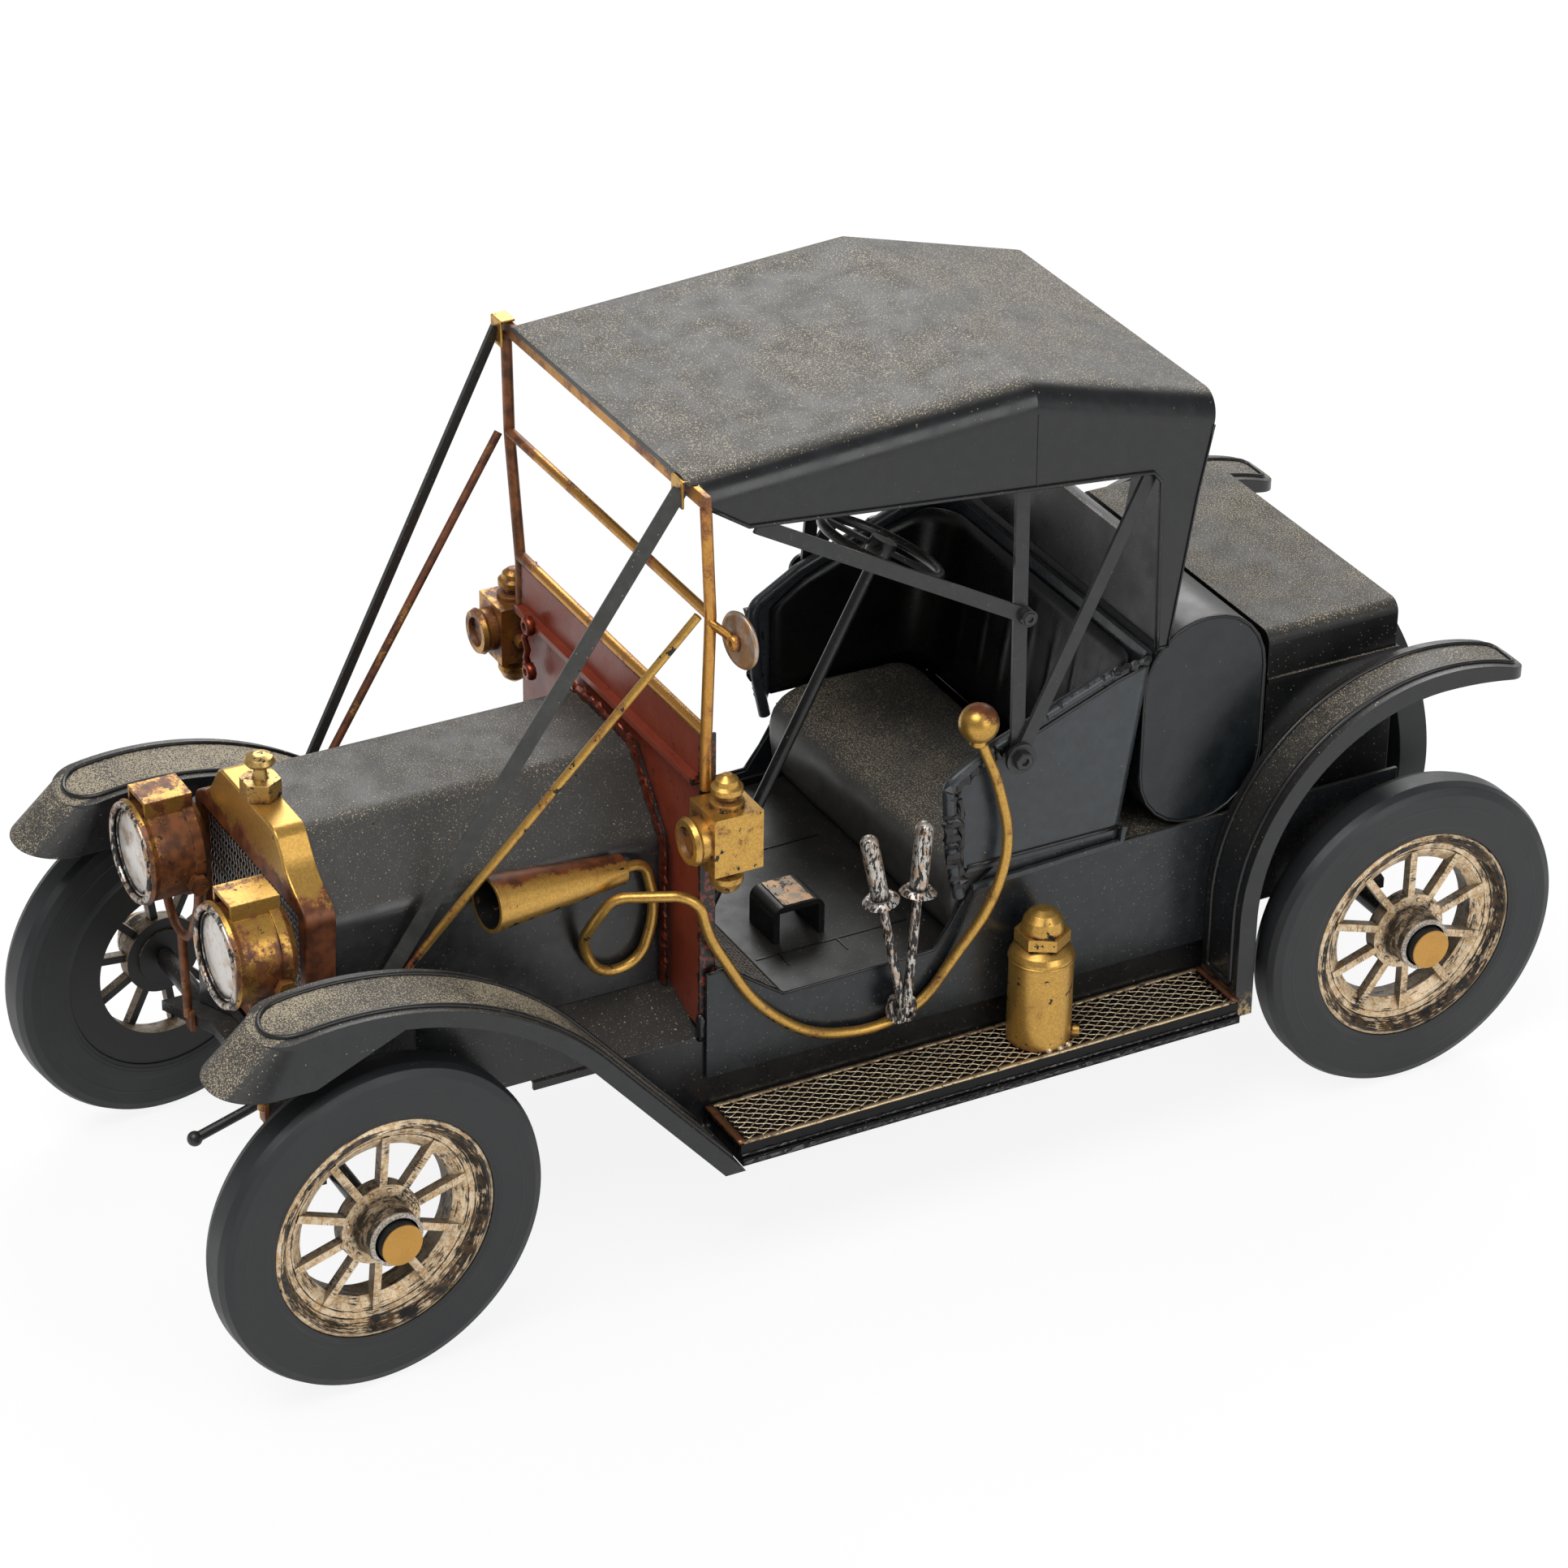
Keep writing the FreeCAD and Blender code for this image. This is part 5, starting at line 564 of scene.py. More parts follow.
class Piece:
    """One piece's mesh, drawn in millimetres, that ends as an object riding on a body."""

    def __init__(self):
        self.mesh = bmesh.new()

    def skin(self, rings, closed=False):
        """Faces between rings of as many vertices; an open run gets its two ends."""
        for i in range(len(rings) if closed else len(rings) - 1):
            a, b = rings[i], rings[(i + 1) % len(rings)]
            for j in range(len(a)):
                k = (j + 1) % len(a)
                self.mesh.faces.new((a[j], a[k], b[k], b[j]))
        if not closed:
            self.mesh.faces.new(rings[0][::-1])
            self.mesh.faces.new(rings[-1])

    def sweep(self, points, section, up=UP, closed=False, scale=None, rough=0.0):
        """Carry a closed section of (across, up) offsets along the points.

        up is a direction or one for each point; scale has a factor for each point; rough is
        the share by which each vertex strays.
        """
        points = [Vector(p) for p in points]
        rings = []
        for i, point in enumerate(points):
            ahead = points[(i + 1) % len(points)] if closed or i < len(points) - 1 else point
            behind = points[i - 1] if closed or i else point
            run = (ahead - behind).normalized()
            across = run.cross(Vector(up[i] if isinstance(up, list) else up)).normalized()
            lift = across.cross(run)
            size = scale[i] if scale else 1.0
            ring = []
            for a, b in section:
                k = size * (1 + rough * rng.uniform(-1, 1)) if rough else size
                ring.append(self.mesh.verts.new(point + across * a * k + lift * b * k))
            rings.append(ring)
        self.skin(rings, closed)

    def lathe(self, profile, centre, axis, sides):
        """Turn a profile of (radius, height) points round an axis; radius 0 closes an end."""
        axis = Vector(axis).normalized()
        side = axis.orthogonal().normalized()
        other = axis.cross(side)
        rings = []
        for radius, height in profile:
            middle = Vector(centre) + axis * height
            spots = [middle + a * side + b * other for a, b in circle(radius, sides)]
            rings.append([self.mesh.verts.new(p) for p in (spots if radius else [middle])])
        for a, b in zip(rings, rings[1:]):
            for i in range(sides):
                k = (i + 1) % sides
                corners = [a[i % len(a)], a[k % len(a)], b[k % len(b)], b[i % len(b)]]
                self.mesh.faces.new(list(dict.fromkeys(corners)))

    def trim(self, x, places, step, section, **how):
        """Sweep along straight runs through (y, z) places in the plane at x."""
        self.sweep(line([(x, y, z) for y, z in places], step), section, up=LEFT, **how)

    def finish(self, name, material, body="car_body", smooth=True):
        bmesh.ops.recalc_face_normals(self.mesh, faces=self.mesh.faces)
        bmesh.ops.scale(self.mesh, vec=(MM, MM, MM), verts=self.mesh.verts)
        data = bpy.data.meshes.new(name)
        self.mesh.to_mesh(data)
        self.mesh.free()
        data.materials.append(material)
        data.polygons.foreach_set("use_smooth", [smooth] * len(data.polygons))
        piece = bpy.data.objects.new(name, data)
        scene.collection.objects.link(piece)
        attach(piece, body)
        return piece


def spread(a, b, step):
    """Points from a to b, both kept, about a step apart."""
    a, b = Vector(a), Vector(b)
    count = max(1, round((b - a).length / step))
    return [a.lerp(b, i / count) for i in range(count + 1)]


def line(points, step):
    """Points along straight runs, about a step apart."""
    found = [Vector(points[0])]
    for a, b in zip(points, points[1:]):
        found += spread(a, b, step)[1:]
    return found


# ---- fenders: a bead on each crown
CROWN_STEP = 3.0


def arc(centre, radius, start, end):
    """(y, z, outward y, outward z) along an arc, in degrees from straight up towards +y."""
    count = max(2, round(radius * math.radians(abs(end - start)) / CROWN_STEP))
    turns = [math.radians(start + (end - start) * i / count) for i in range(count + 1)]
    ways = [(math.sin(turn), math.cos(turn)) for turn in turns]
    return [(centre[0] + radius * y, centre[1] + radius * z, y, z) for y, z in ways]


def run_down(last, end_z):
    """The same down the straight slope that goes on from the last of an arc, to a height."""
    y, z, *way = last
    end = (y + way[1] * (z - end_z) / way[0], end_z)
    return [(*p, *way) for p in spread((y, z), end, CROWN_STEP)[1:]]


FRONT_CROWN = arc((-104.6, 16.8), 54.0, -15.5, 0) + arc((-104.6, 10.8), 60.0, 0, 49)[1:]
FRONT_CROWN += run_down(FRONT_CROWN[-1], 22.6)
REAR_CROWN = [(65.2, z, -1.0, 0.0) for z in (26.4, 29.0, 32.0, 35.0, 37.5)]
REAR_CROWN += arc((105.8, 39.9), 40.6, -90, 0) + arc((105.8, 38.5), 42.0, 0, 24.5)[1:]


def crown_point(crown, s):
    """The place and outward direction a distance s along a crown."""
    for a, b in zip(crown, crown[1:]):
        span = math.dist(a[:2], b[:2])
        if s <= span:
            k = s / span
            return [p + (q - p) * k for p, q in zip(a, b)]
        s -= span
    return crown[-1]


def rounded_loop(s0, s1, x0, x1, near, far, step=1.5):
    """Points (s, x) round a rectangle whose corners have radius near at s0 and far at s1."""
    found = []
    for s, x, radius, start in ((s0, x0, near, 270), (s0, x1, near, 180), (s1, x1, far, 90),
                                (s1, x0, far, 0)):
        cs = s + radius if s == s0 else s - radius
        cx = x + radius if x == x0 else x - radius
        for i in range(7):
            turn = math.radians(start - 15 * i)
            found.append((cs + radius * math.cos(turn), cx + radius * math.sin(turn)))
    return line(found + found[:1], step)[:-1]


def fender_bead(name, crown, sign, x0, x1, start, end, near, far):
    """A wire loop that keeps start and end away from the crown's two ends."""
    lift = 0.12
    length = sum(math.dist(a[:2], b[:2]) for a, b in zip(crown, crown[1:]))
    points, ups = [], []
    for s, x in rounded_loop(start, length - end, x0, x1, near, far):
        y, z, way_y, way_z = crown_point(crown, s)
        points.append((sign * x, y + way_y * lift, z + way_z * lift))
        ups.append((0, way_y, way_z))
    piece = Piece()
    piece.sweep(points, circle(0.48), up=ups, closed=True)
    piece.finish(name, BEAD)


for side, sign in SIDES:
    fender_bead(f"fender_bead_front_{side}", FRONT_CROWN, sign, 37.0, 47.7, 1.6, 0.6, 5.2, 0.9)
    fender_bead(f"fender_bead_rear_{side}", REAR_CROWN, sign, 37.1, 44.5, 0.6, 1.9, 0.9, 1.8)


# ---- running boards
DECK_FRONT, DECK_REAR = -33.3, 64.7


def board_mesh(side, sign):
    """Expanded metal: two sets of strands that cross and pass over and under."""
    piece = Piece()
    low, high, pitch, rise, top = 35.2, 46.9, 2.7, 1.75, 25.0
    slant = (high - low) * pitch / rise
    steps = int((high - low) / (rise / 2))
    for lean in (1, -1):
        for i in range(int((DECK_REAR - DECK_FRONT + slant) / pitch) + 1):
            start = DECK_FRONT + i * pitch - (slant if lean > 0 else 0)
            points = []
            for j in range(steps + 1):
                x = low + j * rise / 2
                y = start + lean * (x - low) * pitch / rise
                if DECK_FRONT + 0.6 <= y <= DECK_REAR - 0.6:
                    points.append((sign * x, y, top + 0.1 * (-1) ** j * lean))
            if len(points) > 1:
                piece.sweep(points, circle(0.135, 4))
    piece.finish(f"board_mesh_{side}", STRAW_WIRE)


def board_frame(side, sign):
    """Worn rails along the mesh, brown strips at its ends and ragged weld under its edge."""
    piece = Piece()
    for x, width in ((34.95, 0.9), (47.05, 0.8)):
        run = spread((sign * x, DECK_FRONT, 24.86), (sign * x, DECK_REAR, 24.86), 2.0)
        piece.sweep(run, slab(width, 0.55), rough=0.07)
    piece.finish(f"board_rail_{side}", WORN)
    piece = Piece()
    for y in (DECK_FRONT - 0.1, DECK_REAR + 0.1):
        run = spread((sign * 34.6, y, 24.95), (sign * 47.3, y, 24.95), 1.2)
        piece.sweep(run, slab(1.3, 0.6), rough=0.12)
    piece.finish(f"board_end_{side}", COPPER)
    piece = Piece()
    for x, z, size in ((48.2, 21.7, 0.42), (47.5, 22.7, 0.34)):
        run = spread((sign * x, DECK_FRONT - 0.4, z), (sign * x, DECK_REAR, z), 0.7)
        piece.sweep(run, circle(size, 6), scale=[rng.uniform(0.45, 1.25) for _ in run], rough=0.3)
    piece.finish(f"board_weld_{side}", WELD, smooth=False)


for side, sign in SIDES:
    board_mesh(side, sign)
    board_frame(side, sign)


# ---- radiator and headlamps
def radiator_mesh():
    """Fine straight wires across and crimped wires down, over the dark core."""
    piece = Piece()
    low, high, half, pitch, crimp = 46.5, 74.1, 20.1, 1.25, 0.3
    wire = circle(0.085, 4)
    levels = [low + i * pitch for i in range(int((high - low) / pitch) + 1)]
    for z in levels:
        piece.sweep([(-half, -99.98, z), (half, -99.98, z)], wire)
    for i in range(int(2 * half / pitch) + 1):
        x = -half + i * pitch
        points = [(x + (crimp if j % 2 else -crimp), -100.08, z) for j, z in enumerate(levels)]
        piece.sweep(points, wire, up=REAR)
    piece.finish("radiator_mesh", GREY_WIRE, smooth=False)


def headlamp_glass(side, sign):
    """A domed lens in a dark groove, and its pitted rim."""
    x, radius = sign * LENS_X, 7.35
    piece = Piece()
    dome = [(radius, -0.3), (radius, 0.0)]
    dome += [(radius * (1 - i / 8), 0.15 + 0.85 * (1 - (1 - i / 8) ** 2)) for i in range(9)]
    piece.lathe(dome, (x, -114.25, LENS_Z), FRONT, 48)
    piece.finish(f"lens_{side}", LENS)
    piece = Piece()
    for radius, y, size in ((8.35, -115.1, 0.62), (7.5, -114.5, 0.3)):
        piece.sweep([(x + a, y, LENS_Z + b) for a, b in circle(radius, 48)], circle(size),
                    up=REAR, closed=True)
    piece.finish(f"lens_rim_{side}", LENS_RIM)


radiator_mesh()
for side, sign in SIDES:
    headlamp_glass(side, sign)


# ---- wheels
RIVET = [(0.42, -0.1), (0.42, 0.1), (0.34, 0.24), (0.18, 0.33), (0.0, 0.36)]


def hub_rivets(corner, centre, axis):
    """Twelve rivets round the hub's flange."""
    out = Vector(axis)
    middle = Vector(centre) + out * 1.8
    side = out.orthogonal().normalized()
    other = out.cross(side)
    piece = Piece()
    for a, b in circle(6.25, 12):
        piece.lathe(RIVET, middle + a * side + b * other, out, 8)
    piece.finish(f"hub_rivets_{corner}", FINISH["wheel_" + corner].copy(), "wheel_assembly_" + corner)


def spare_wheel():
    """Rim ring, ten spokes and hub over the spare wheel's dark plate."""
    low, high = (Vector(corner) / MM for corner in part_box("spare_rim"))
    middle = Vector(((low.x + high.x) / 2, high.y, (low.z + high.z) / 2))
    radius = (high.x - low.x) / 2

    def round_hub(distance, turn, lift):
        return middle + Vector((distance * math.cos(turn), lift, distance * math.sin(turn)))

    piece = Piece()
    for inset, section, lift in ((1.7, slab(2.6, 1.0), 0.25), (0.5, circle(0.45), 0.45)):
        ring = [round_hub(radius - inset, math.tau * i / 60, lift) for i in range(60)]
        piece.sweep(ring, section, up=REAR, closed=True)
    for i in range(10):
        turn = math.tau * (i + 0.5) / 10
        piece.sweep([round_hub(4.6, turn, 0.35), round_hub(radius - 2.6, turn, 0.25)],
                    [(-0.85, -0.5), (0.85, -0.5), (0.55, 0.45), (-0.55, 0.45)], up=REAR)
    hub = [(5.2, -0.2), (5.2, 0.8), (4.6, 1.1), (3.2, 1.1), (3.1, 0.7), (1.9, 0.7), (1.8, 1.6),
           (1.3, 1.9), (0.0, 1.9)]
    piece.lathe(hub, middle, REAR, 24)
    piece.finish("spare_face", SPARE_FACE)


for corner, (centre, axis) in HUBS.items():
    hub_rivets(corner, centre, axis)
spare_wheel()


# ---- roof, seat and body edges
SEAT_REAR = 45.4


def roof_edges(side, sign):
    """The curled edges of the top's side and the seam down its valance."""
    piece = Piece()
    x = sign * 35.55
    opening = [(-33.9, 139.5), (-27.0, 134.9), (49.4, 127.4), (51.0, 125.4), (51.9, 93.3)]
    piece.trim(x, opening, 4.0, circle(0.36))
    piece.trim(x, [(54.0, 93.0), (58.4, 121.0), (61.0, 133.7)], 4.0, circle(0.18, 6))
    piece.trim(x - sign * 0.1, [(51.9, 93.2), (54.0, 93.2)], 1.0, circle(0.3, 6))
    piece.finish(f"roof_wire_{side}", BEAD)
    piece = Piece()
    piece.trim(sign * 35.42, [(26.8, 129.7), (26.6, 143.0)], 4.0, slab(0.35, 0.16))
    piece.finish(f"roof_seam_{side}", BEAD, smooth=False)


def ragged(piece, x, places, size, step, flat=0.55):
    """A bead of weld that swells and strays."""
    run = line([(x, y, z) for y, z in places], step)
    section = [(a, b * flat) for a, b in circle(size, 7)]
    piece.sweep(run, section, up=LEFT, scale=[rng.uniform(0.5, 1.2) for _ in run], rough=0.28)


def body_edges(side, sign):
    """Weld, trim wire and ledge of the seat's side, the door sill's lip and the tank's seam."""
    piece = Piece()
    x = sign * 36.1
    front = [(14.2, 57.0), (12.5, 63.0), (11.8, 76.0), (14.4, 77.9), (21.0, 81.9)]
    ragged(piece, x, front, 1.55, 0.7)
    ragged(piece, x, [(13.6, 58.5), (14.0, 66.0), (13.4, 74.0)], 0.85, 1.1, 0.9)
    ragged(piece, x, [(21.0, 82.2), (43.2, 91.0), (50.4, 92.0)], 1.1, 0.8)
    piece.finish(f"seat_weld_{side}", WELD, smooth=False)
    piece = Piece()
    x = sign * 36.05
    piece.trim(x, [(15.5, 60.0), (SEAT_REAR, 60.0)], 4.0, circle(0.38))
    piece.trim(x, [(20.6, 80.2), (43.6, 89.1), (50.0, 91.0)], 3.0, circle(0.36))
    piece.finish(f"seat_trim_{side}", BEAD)
    piece = Piece()
    ledge = [(16.8, 55.4), (46.4, 56.6), (46.9, 59.6)]
    piece.trim(x - sign * 0.35, ledge, 1.6, slab(1.0, 0.9), rough=0.12)
    piece.finish(f"seat_ledge_{side}", SEAT_SIDE_SHEEN, smooth=False)
    piece = Piece()
    lip = [(-33.6, 51.9), (-30.4, 52.0), (-19.4, 44.0), (9.8, 44.4), (13.0, 48.6), (15.6, 53.0)]
    piece.trim(sign * 35.05, lip, 2.0, circle(0.32, 6))
    corner = [(sign * 34.3, -34.9, z) for z in (38.6, 39.8, 41.2, 42.6, 43.8)]
    piece.sweep(corner, circle(0.75, 7), up=REAR, scale=[0.7, 1.1, 0.85, 1.15, 0.6], rough=0.15)
    piece.finish(f"door_lip_{side}", BEAD)
    piece = Piece()
    outline = rounded_loop(51.0, 75.4, 55.6, 95.6, 11.9, 11.9, 3.0)
    piece.sweep([(sign * 33.65, y, z) for y, z in outline], circle(0.34), up=LEFT, closed=True)
    piece.finish(f"tank_bead_{side}", BEAD)


for side, sign in SIDES:
    roof_edges(side, sign)
for side, sign in SIDES:
    body_edges(side, sign)


# ---- cabin floor
def floor_seams():
    piece = Piece()
    z = 41.86
    for x in (-12.0, 20.5):
        piece.sweep([(x, -17.0, z), (x, 12.5, z)], slab(0.35, 0.2))
    for y in (-1.2, -12.6):
        piece.sweep([(20.5, y, z), (24.5, y, z)], slab(0.3, 0.2))
    piece.finish("floor_seams", BEAD, smooth=False)


def toe_board_mesh():
    """Two sets of fine wires that cross on the toe board's slope."""
    piece = Piece()
    rise, reach, margin, steps = 52.8 - 41.8, 33.4 - 17.7, 1.2, 12
    slope = Vector((0, -reach, rise)).normalized()
    start = Vector((0, -17.7, 41.9)) + Vector((0, rise, reach)).normalized() * 0.08
    length = math.hypot(reach, rise) - 2 * margin
    for lean in (1, -1):
        for i in range(-8, 58):
            points = []
            for j in range(steps + 1):
                x = -31.5 + i * 1.2 + lean * j * 0.6 + (0 if lean > 0 else 7.2)
                if -32.0 < x < 32.6:
                    points.append(Vector((x, 0, 0)) + start + slope * (margin + length * j / steps))
            if len(points) > 1:
                piece.sweep(points, circle(0.09, 4), up=(0, 0.5, 0.8))
    piece.finish("toe_board_mesh", GREY_WIRE, smooth=False)


def pedal_tread():
    piece = Piece()
    run = spread((8.7, -7.0, 49.0), (17.3, -7.0, 49.0), 1.4)
    piece.sweep(run, slab(5.6, 0.22), rough=0.05)
    piece.finish("pedal_tread", PEDAL, smooth=False)


floor_seams()
toe_board_mesh()
pedal_tread()


# ---- gas cylinder and bolts
def bottle_details():
    """A raised band round the gas cylinder and lumps of solder at its foot."""
    piece = Piece()
    band = [(5.74, 41.4), (5.9, 41.5), (5.9, 41.75), (5.74, 41.85)]
    piece.lathe(band, (41.0, 28.0, 0.0), UP, 40)
    piece.finish("bottle_band", BOTTLE)
    piece = Piece()
    for y, z, size in ((27.0, 25.3, 1.0), (29.2, 25.2, 1.2), (31.0, 25.1, 0.9)):
        lump = [(size, -0.6), (size * 1.05, -0.1), (size * 0.8, 0.45), (size * 0.35, 0.75), (0.0, 0.85)]
        piece.lathe(lump, (46.0, y, z), (0.3, 0.0, 1.0), 10)
    piece.finish("bottle_solder", WORN)


def bolts(name, spots, material):
    """Hexagon heads with a hole in the middle, from (place, axis, size, height)."""
    piece = Piece()
    for place, axis, size, height in spots:
        head = [(size, -0.2), (size, height - 0.15), (size * 0.86, height), (size * 0.45, height),
                (size * 0.42, height - 0.45), (0.0, height - 0.45)]
        piece.lathe(head, place, axis, 6)
    piece.finish(name, material, smooth=False)


bottle_details()
for side, sign in SIDES:
    out = (sign, 0, 0)
    bolts(f"hood_bolt_{side}", [((sign * 39.3, 23.5, 80.8), out, 1.75, 1.25),
                                ((sign * 37.8, 24.9, 106.6), out, 1.3, 0.35)], IRON)
bolts("lever_bolt", [((38.5, 2.0, 36.6), LEFT, 1.65, 2.2)], STEEL)


# ---- seat
CORNER = 8.0  # radius of the lining's rear corners in plan
LINING_X = 34.9
SEAT_FACE = [(15.2, 42.0), (14.0, 46.0), (13.4, 50.5), (13.3, 54.0), (14.1, 56.8), (16.0, 58.9),
             (19.0, 60.1), (23.0, 60.5), (28.0, 60.3), (34.0, 60.0), (40.0, 60.1),
             (SEAT_REAR, 60.4), (SEAT_REAR, 42.0)]


def back_y(z):
    """Where the seat back's inner face stands at a height."""
    return 46.1 + 0.1555 * (z - 60.0)


def seat_panel():
    """A beaten sheet, wavy in front, whose front edge rolls down to the floor."""
    piece = Piece()
    half, columns = 34.3, 40
    rings = []
    for i in range(columns + 1):
        x = -half + 2 * half * i / columns
        into = max(0.0, abs(x) - (LINING_X - CORNER))
        rear = SEAT_REAR - (CORNER - math.sqrt(CORNER ** 2 - into ** 2))
        fold = 0.4 * math.sin(x / 5.1) + 0.3 * math.sin(x / 2.9 + 1.0)
        sag = 0.35 * math.cos(math.pi * x / (2 * half))
        ring = []
        for j, (y, z) in enumerate(SEAT_FACE):
            if 1 <= j <= 5:
                y += 0.35 + 0.55 * fold * math.sin(j * 0.9 + x / 7.0)
            if 5 <= j <= 10:
                z -= sag + 0.12 * math.sin(x / 6.0 + j * 1.1)
            ring.append(piece.mesh.verts.new((x, min(y, rear), z)))
        rings.append(ring)
    piece.skin(rings)
    panel = piece.finish("seat_panel", SEAT)
    crease = panel.modifiers.new("smooth", "SUBSURF")
    crease.levels = crease.render_levels = 1
    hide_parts("seat_bench")


def lining_top(y):
    """The height of the lining's upper edge: up the seat's side and level along its back."""
    if y < 21.0:
        return 76.0 + (y - 14.5) * 0.75
    return min(90.0, 80.9 + (y - 21.0) * 0.4)


def seat_lining():
    """A thin pleated sheet round the inside of the seat's sides and back."""
    piece = Piece()
    # the left half of its plan as (x, y, outward x, outward y), with y from the corner's start
    half_plan = [(LINING_X, 14.8 + 2.4 * i, 1.0, 0.0) for i in range(10)]
    for i in range(1, 9):
        turn = math.radians(10 * i)
        half_plan.append((LINING_X - CORNER * (1 - math.cos(turn)), CORNER * math.sin(turn),
                          math.cos(turn), math.sin(turn)))
    flat, count = LINING_X - CORNER, 72
    plan = half_plan + [(flat - 2 * flat * i / count, CORNER, 0.0, 1.0) for i in range(count + 1)]
    plan += [(-x, y, -way_x, way_y) for x, y, way_x, way_y in half_plan[::-1]]
    foot, sheet, gap, rows = 59.0, 0.35, 0.4, 11
    rings = []
    for x, y, way_x, way_y in plan:
        outside, inside = [], []
        along_side = way_y == 0.0
        top = lining_top(y if along_side else y - CORNER + back_y(75.0) - gap)
        for j in range(rows):
            share = j / (rows - 1)
            z = foot + (top - foot) * share
            stand = y if along_side else y - CORNER + back_y(z) - gap
            pleat = 0.3 * way_y * max(0.0, math.cos(x * math.tau / 7.5)) ** 6
            pleat *= math.sin(math.pi * min(1.0, share * 1.2))
            for ring, depth in ((outside, 0.0), (inside, sheet + pleat)):
                ring.append(piece.mesh.verts.new((x - way_x * depth, stand - way_y * depth, z)))
        rings.append(outside + inside[::-1])
    piece.skin(rings)
    piece.finish("seat_lining", INSIDE_SHADE)


seat_panel()
seat_lining()


# ---- windscreen and firewall
def strap_sleeve(side, x):
    """The folded gold sleeve that holds a strap to the top rail: its front and its top."""
    piece = Piece()
    for y, z, depth, height in ((-37.425, 141.35, 0.4, 4.7), (-36.175, 143.6, 2.55, 0.4)):
        piece.sweep([(x - 1.9, y, z), (x + 1.9, y, z)], slab(depth, height))
    piece.finish(f"strap_sleeve_{side}", BRASS, smooth=False)


def firewall_joint():
    """The ragged joint between firewall and bonnet."""
    half = [(22.7, 44.5), (22.7, 58.0), (22.7, 71.5), (20.0, 75.0), (11.3, 85.2)]
    joint = half + [(0.0, 85.6)] + [(-x, z) for x, z in half[::-1]]
    run = line([(x * 1.035, -36.62, z + 0.35) for x, z in joint], 0.75)
    ribbon = [(-1.0, -0.16), (0.0, -0.22), (1.0, -0.16), (0.95, 0.12), (0.3, 0.3), (-0.5, 0.26),
              (-0.95, 0.1)]
    piece = Piece()
    piece.sweep(run, ribbon, up=FRONT, scale=[rng.uniform(0.75, 1.5) for _ in run], rough=0.22)
    piece.finish("firewall_joint", LUMPS, smooth=False)


def far_lamp_bolts():
    """Bolts and a bent wire that hold the far side lamp to the firewall."""
    piece = Piece()
    for x, z, size in ((-26.9, 89.3, 1.75), (-26.6, 80.5, 1.6)):
        head = [(size, -0.1), (size * 1.1, 0.5), (size, 1.1), (size * 0.8, 1.4),
                (size * 0.45, 1.4), (size * 0.4, 0.9), (0.0, 0.9)]
        piece.lathe(head, (x, -36.5, z), FRONT, 8)
    wire = [(-26.9, -37.0, 88.6), (-27.9, -37.4, 86.6), (-26.3, -37.5, 84.9), (-27.5, -37.3, 83.0),
            (-26.7, -37.0, 81.2)]
    piece.sweep(wire, circle(0.62), up=REAR)
    piece.finish("lamp_bolts_right", LUMPS)


def mirror():
    """A hammered disc turned a little outwards, on a flat arm."""
    turn = math.radians(7)
    face = Vector((math.sin(turn), -math.cos(turn), 0))
    piece = Piece()
    disc = [(0.0, -0.55), (4.3, -0.55), (4.85, -0.35), (5.0, 0.05), (4.75, 0.4), (4.25, 0.3),
            (2.2, 0.52), (0.0, 0.6)]
    piece.lathe(disc, (41.0, -31.4, 117.9), face, 40)
    hammered = piece.finish("mirror_disc", MIRROR)
    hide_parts("rear_view_mirror")
    piece = Piece()
    knob = [(1.25, 0.2), (1.45, 0.7), (1.45, 1.5), (1.1, 1.9), (0.6, 1.9), (0.5, 1.4), (0.0, 1.4)]
    piece.lathe(knob, (40.6, -31.4, 117.6), face, 14)
    arm = [(37.9, -35.6, 120.9), (38.9, -34.4, 119.9), (39.8, -33.2, 118.8), (40.5, -32.4, 117.8)]
    piece.sweep(arm, slab(1.5, 0.8), up=(0, -1, 0.2), rough=0.1)
    piece.finish("mirror_arm", FRAME)


strap_sleeve("left", 30.6)
strap_sleeve("right", -36.9)
firewall_joint()
far_lamp_bolts()
mirror()


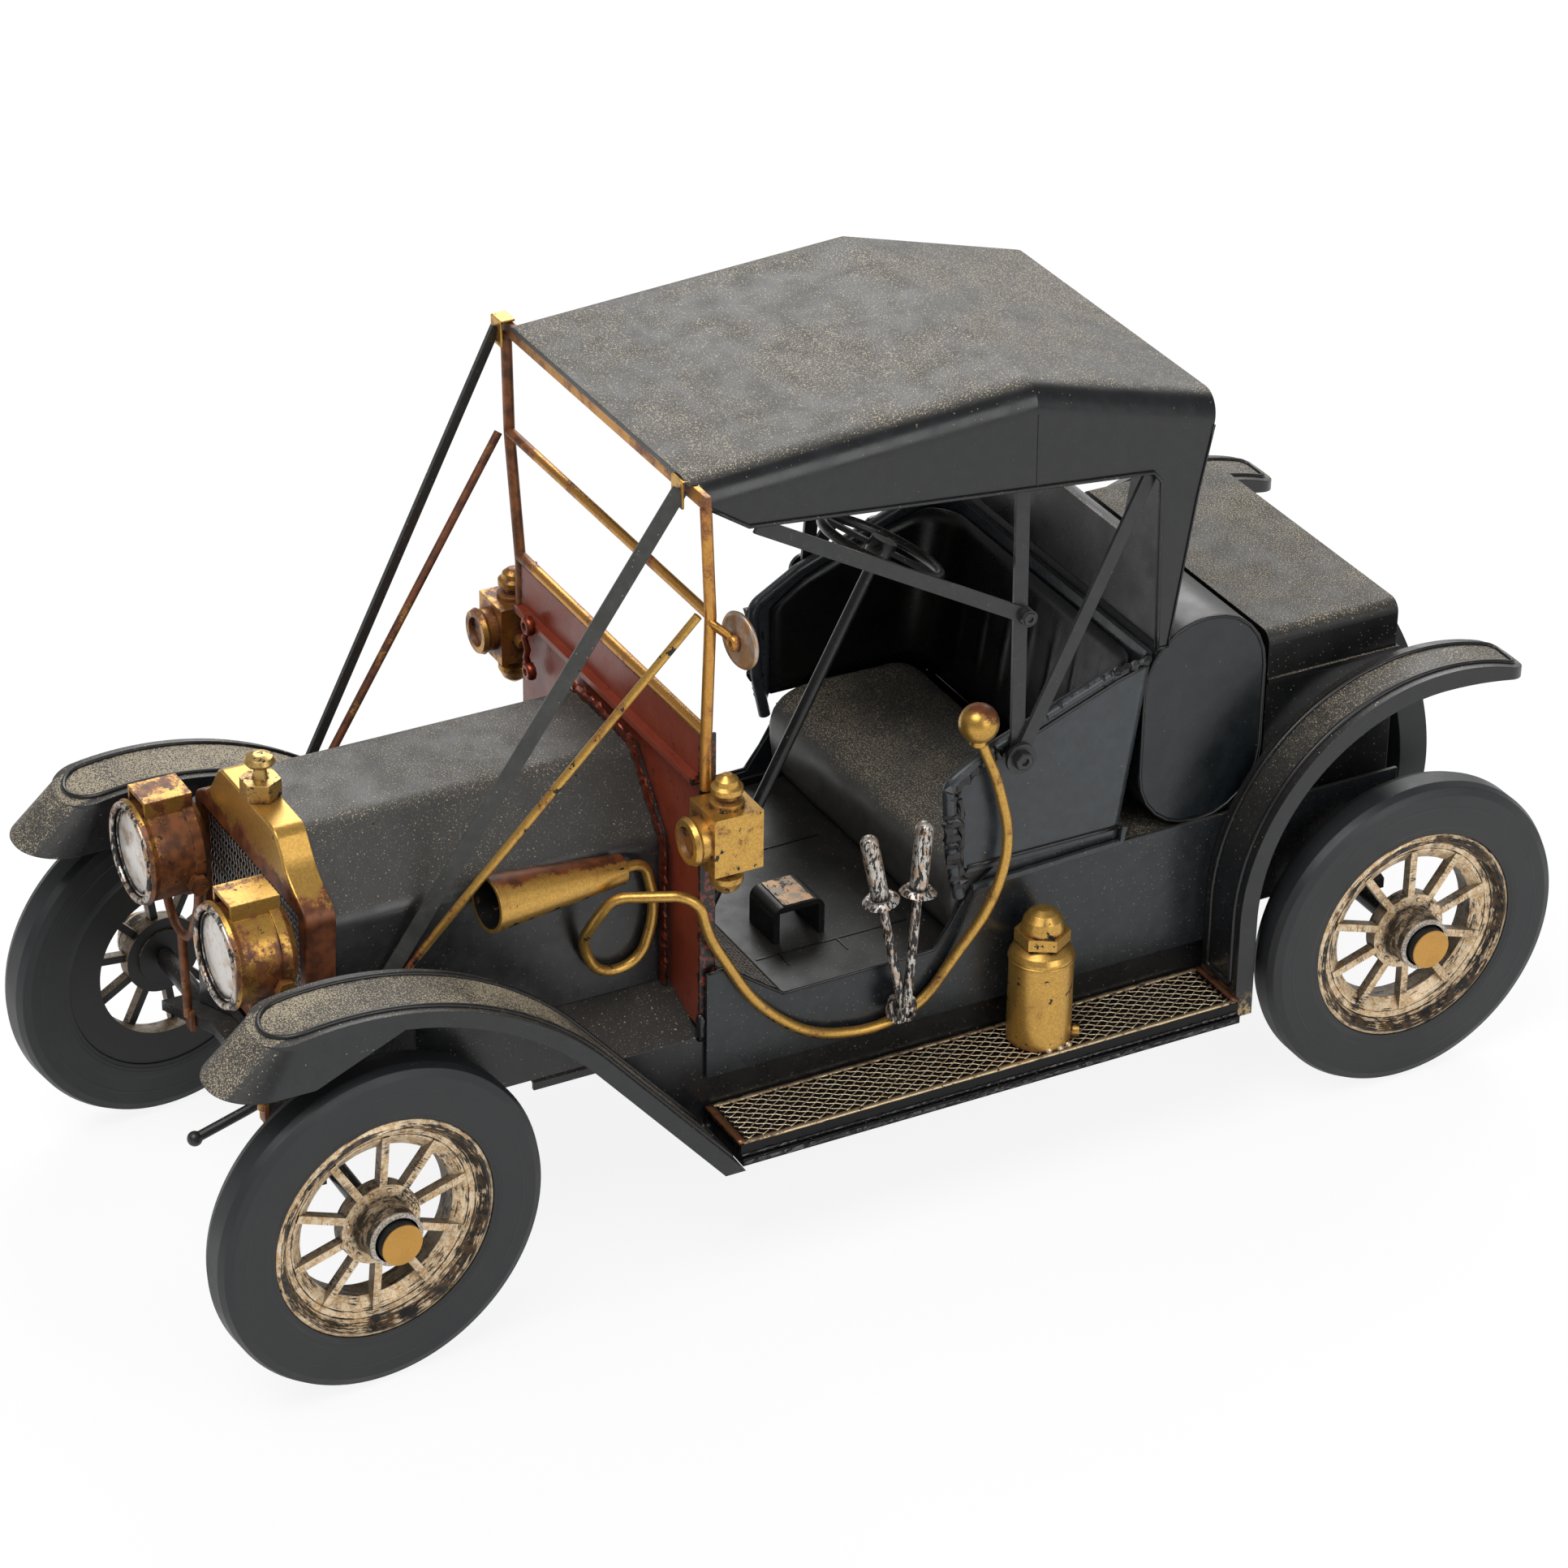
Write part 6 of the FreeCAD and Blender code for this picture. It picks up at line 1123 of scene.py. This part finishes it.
# ---- stage
AMBIENT = 0.3  # the white world's strength as a light
FLOOR_WHITE = 0.93
FLOOR_SHARE = 0.88  # of plain white in what the camera sees of the floor
GLOSSY_SHARE = 0.45  # of that in what glossy faces see
FLOOR_SIZE, FLOOR_DROP = 12.0, 0.0002
TARGET = (0, 0, 0.06)


def make_world():
    """A white world, whole to the camera and faint as a light."""
    scene.world = bpy.data.worlds.new("world")
    g = Graph(scene.world, "OutputWorld")
    level = g.new("MapRange", Value=g.seen_directly(), To_Min=AMBIENT)
    shade = g.new("Background", Color=(1, 1, 1), Strength=level.outputs[0])
    g.feed(g.output.inputs["Surface"], shade.outputs[0])


def make_floor():
    """A matte floor that keeps its shadow, with plain white mixed in for the camera."""
    mesh = bpy.data.meshes.new("floor")
    grid = bmesh.new()
    bmesh.ops.create_grid(grid, x_segments=1, y_segments=1, size=FLOOR_SIZE)
    grid.to_mesh(mesh)
    grid.free()
    floor = bpy.data.objects.new("floor", mesh)
    floor.location.z = -FLOOR_DROP
    scene.collection.objects.link(floor)
    g = Material("floor_white")
    matte = g.new("BsdfDiffuse", Color=(FLOOR_WHITE, FLOOR_WHITE, FLOOR_WHITE))
    glow = g.new("Emission", Strength=1.0)
    glossy = g.times(g.new("LightPath").outputs["Is Glossy Ray"], GLOSSY_SHARE)
    both = g.new("MixShader", Fac=g.times(g.either(g.seen_directly(), glossy), FLOOR_SHARE))
    g.feed(both.inputs[1], matte.outputs[0])
    g.feed(both.inputs[2], glow.outputs[0])
    g.feed(g.output.inputs["Surface"], both.outputs[0])
    mesh.materials.append(g.material)


def make_light(name, place, width, height, power):
    data = bpy.data.lights.new(name, "AREA")
    data.shape = "RECTANGLE"
    data.size, data.size_y = width, height
    data.energy = power
    light = bpy.data.objects.new(name, data)
    light.location = place
    light.rotation_mode = "QUATERNION"
    light.rotation_quaternion = (Vector(TARGET) - Vector(place)).to_track_quat("-Z", "Y")
    scene.collection.objects.link(light)


make_world()
make_floor()
make_light("key_light", (0.25, -0.55, 1.15), 0.9, 0.7, 11.0)
make_light("back_light", (-0.75, 0.55, 0.75), 1.0, 0.7, 10.0)
make_light("side_light", (1.1, 0.35, 0.55), 0.7, 0.7, 4.5)
scene.view_settings.view_transform = "Standard"
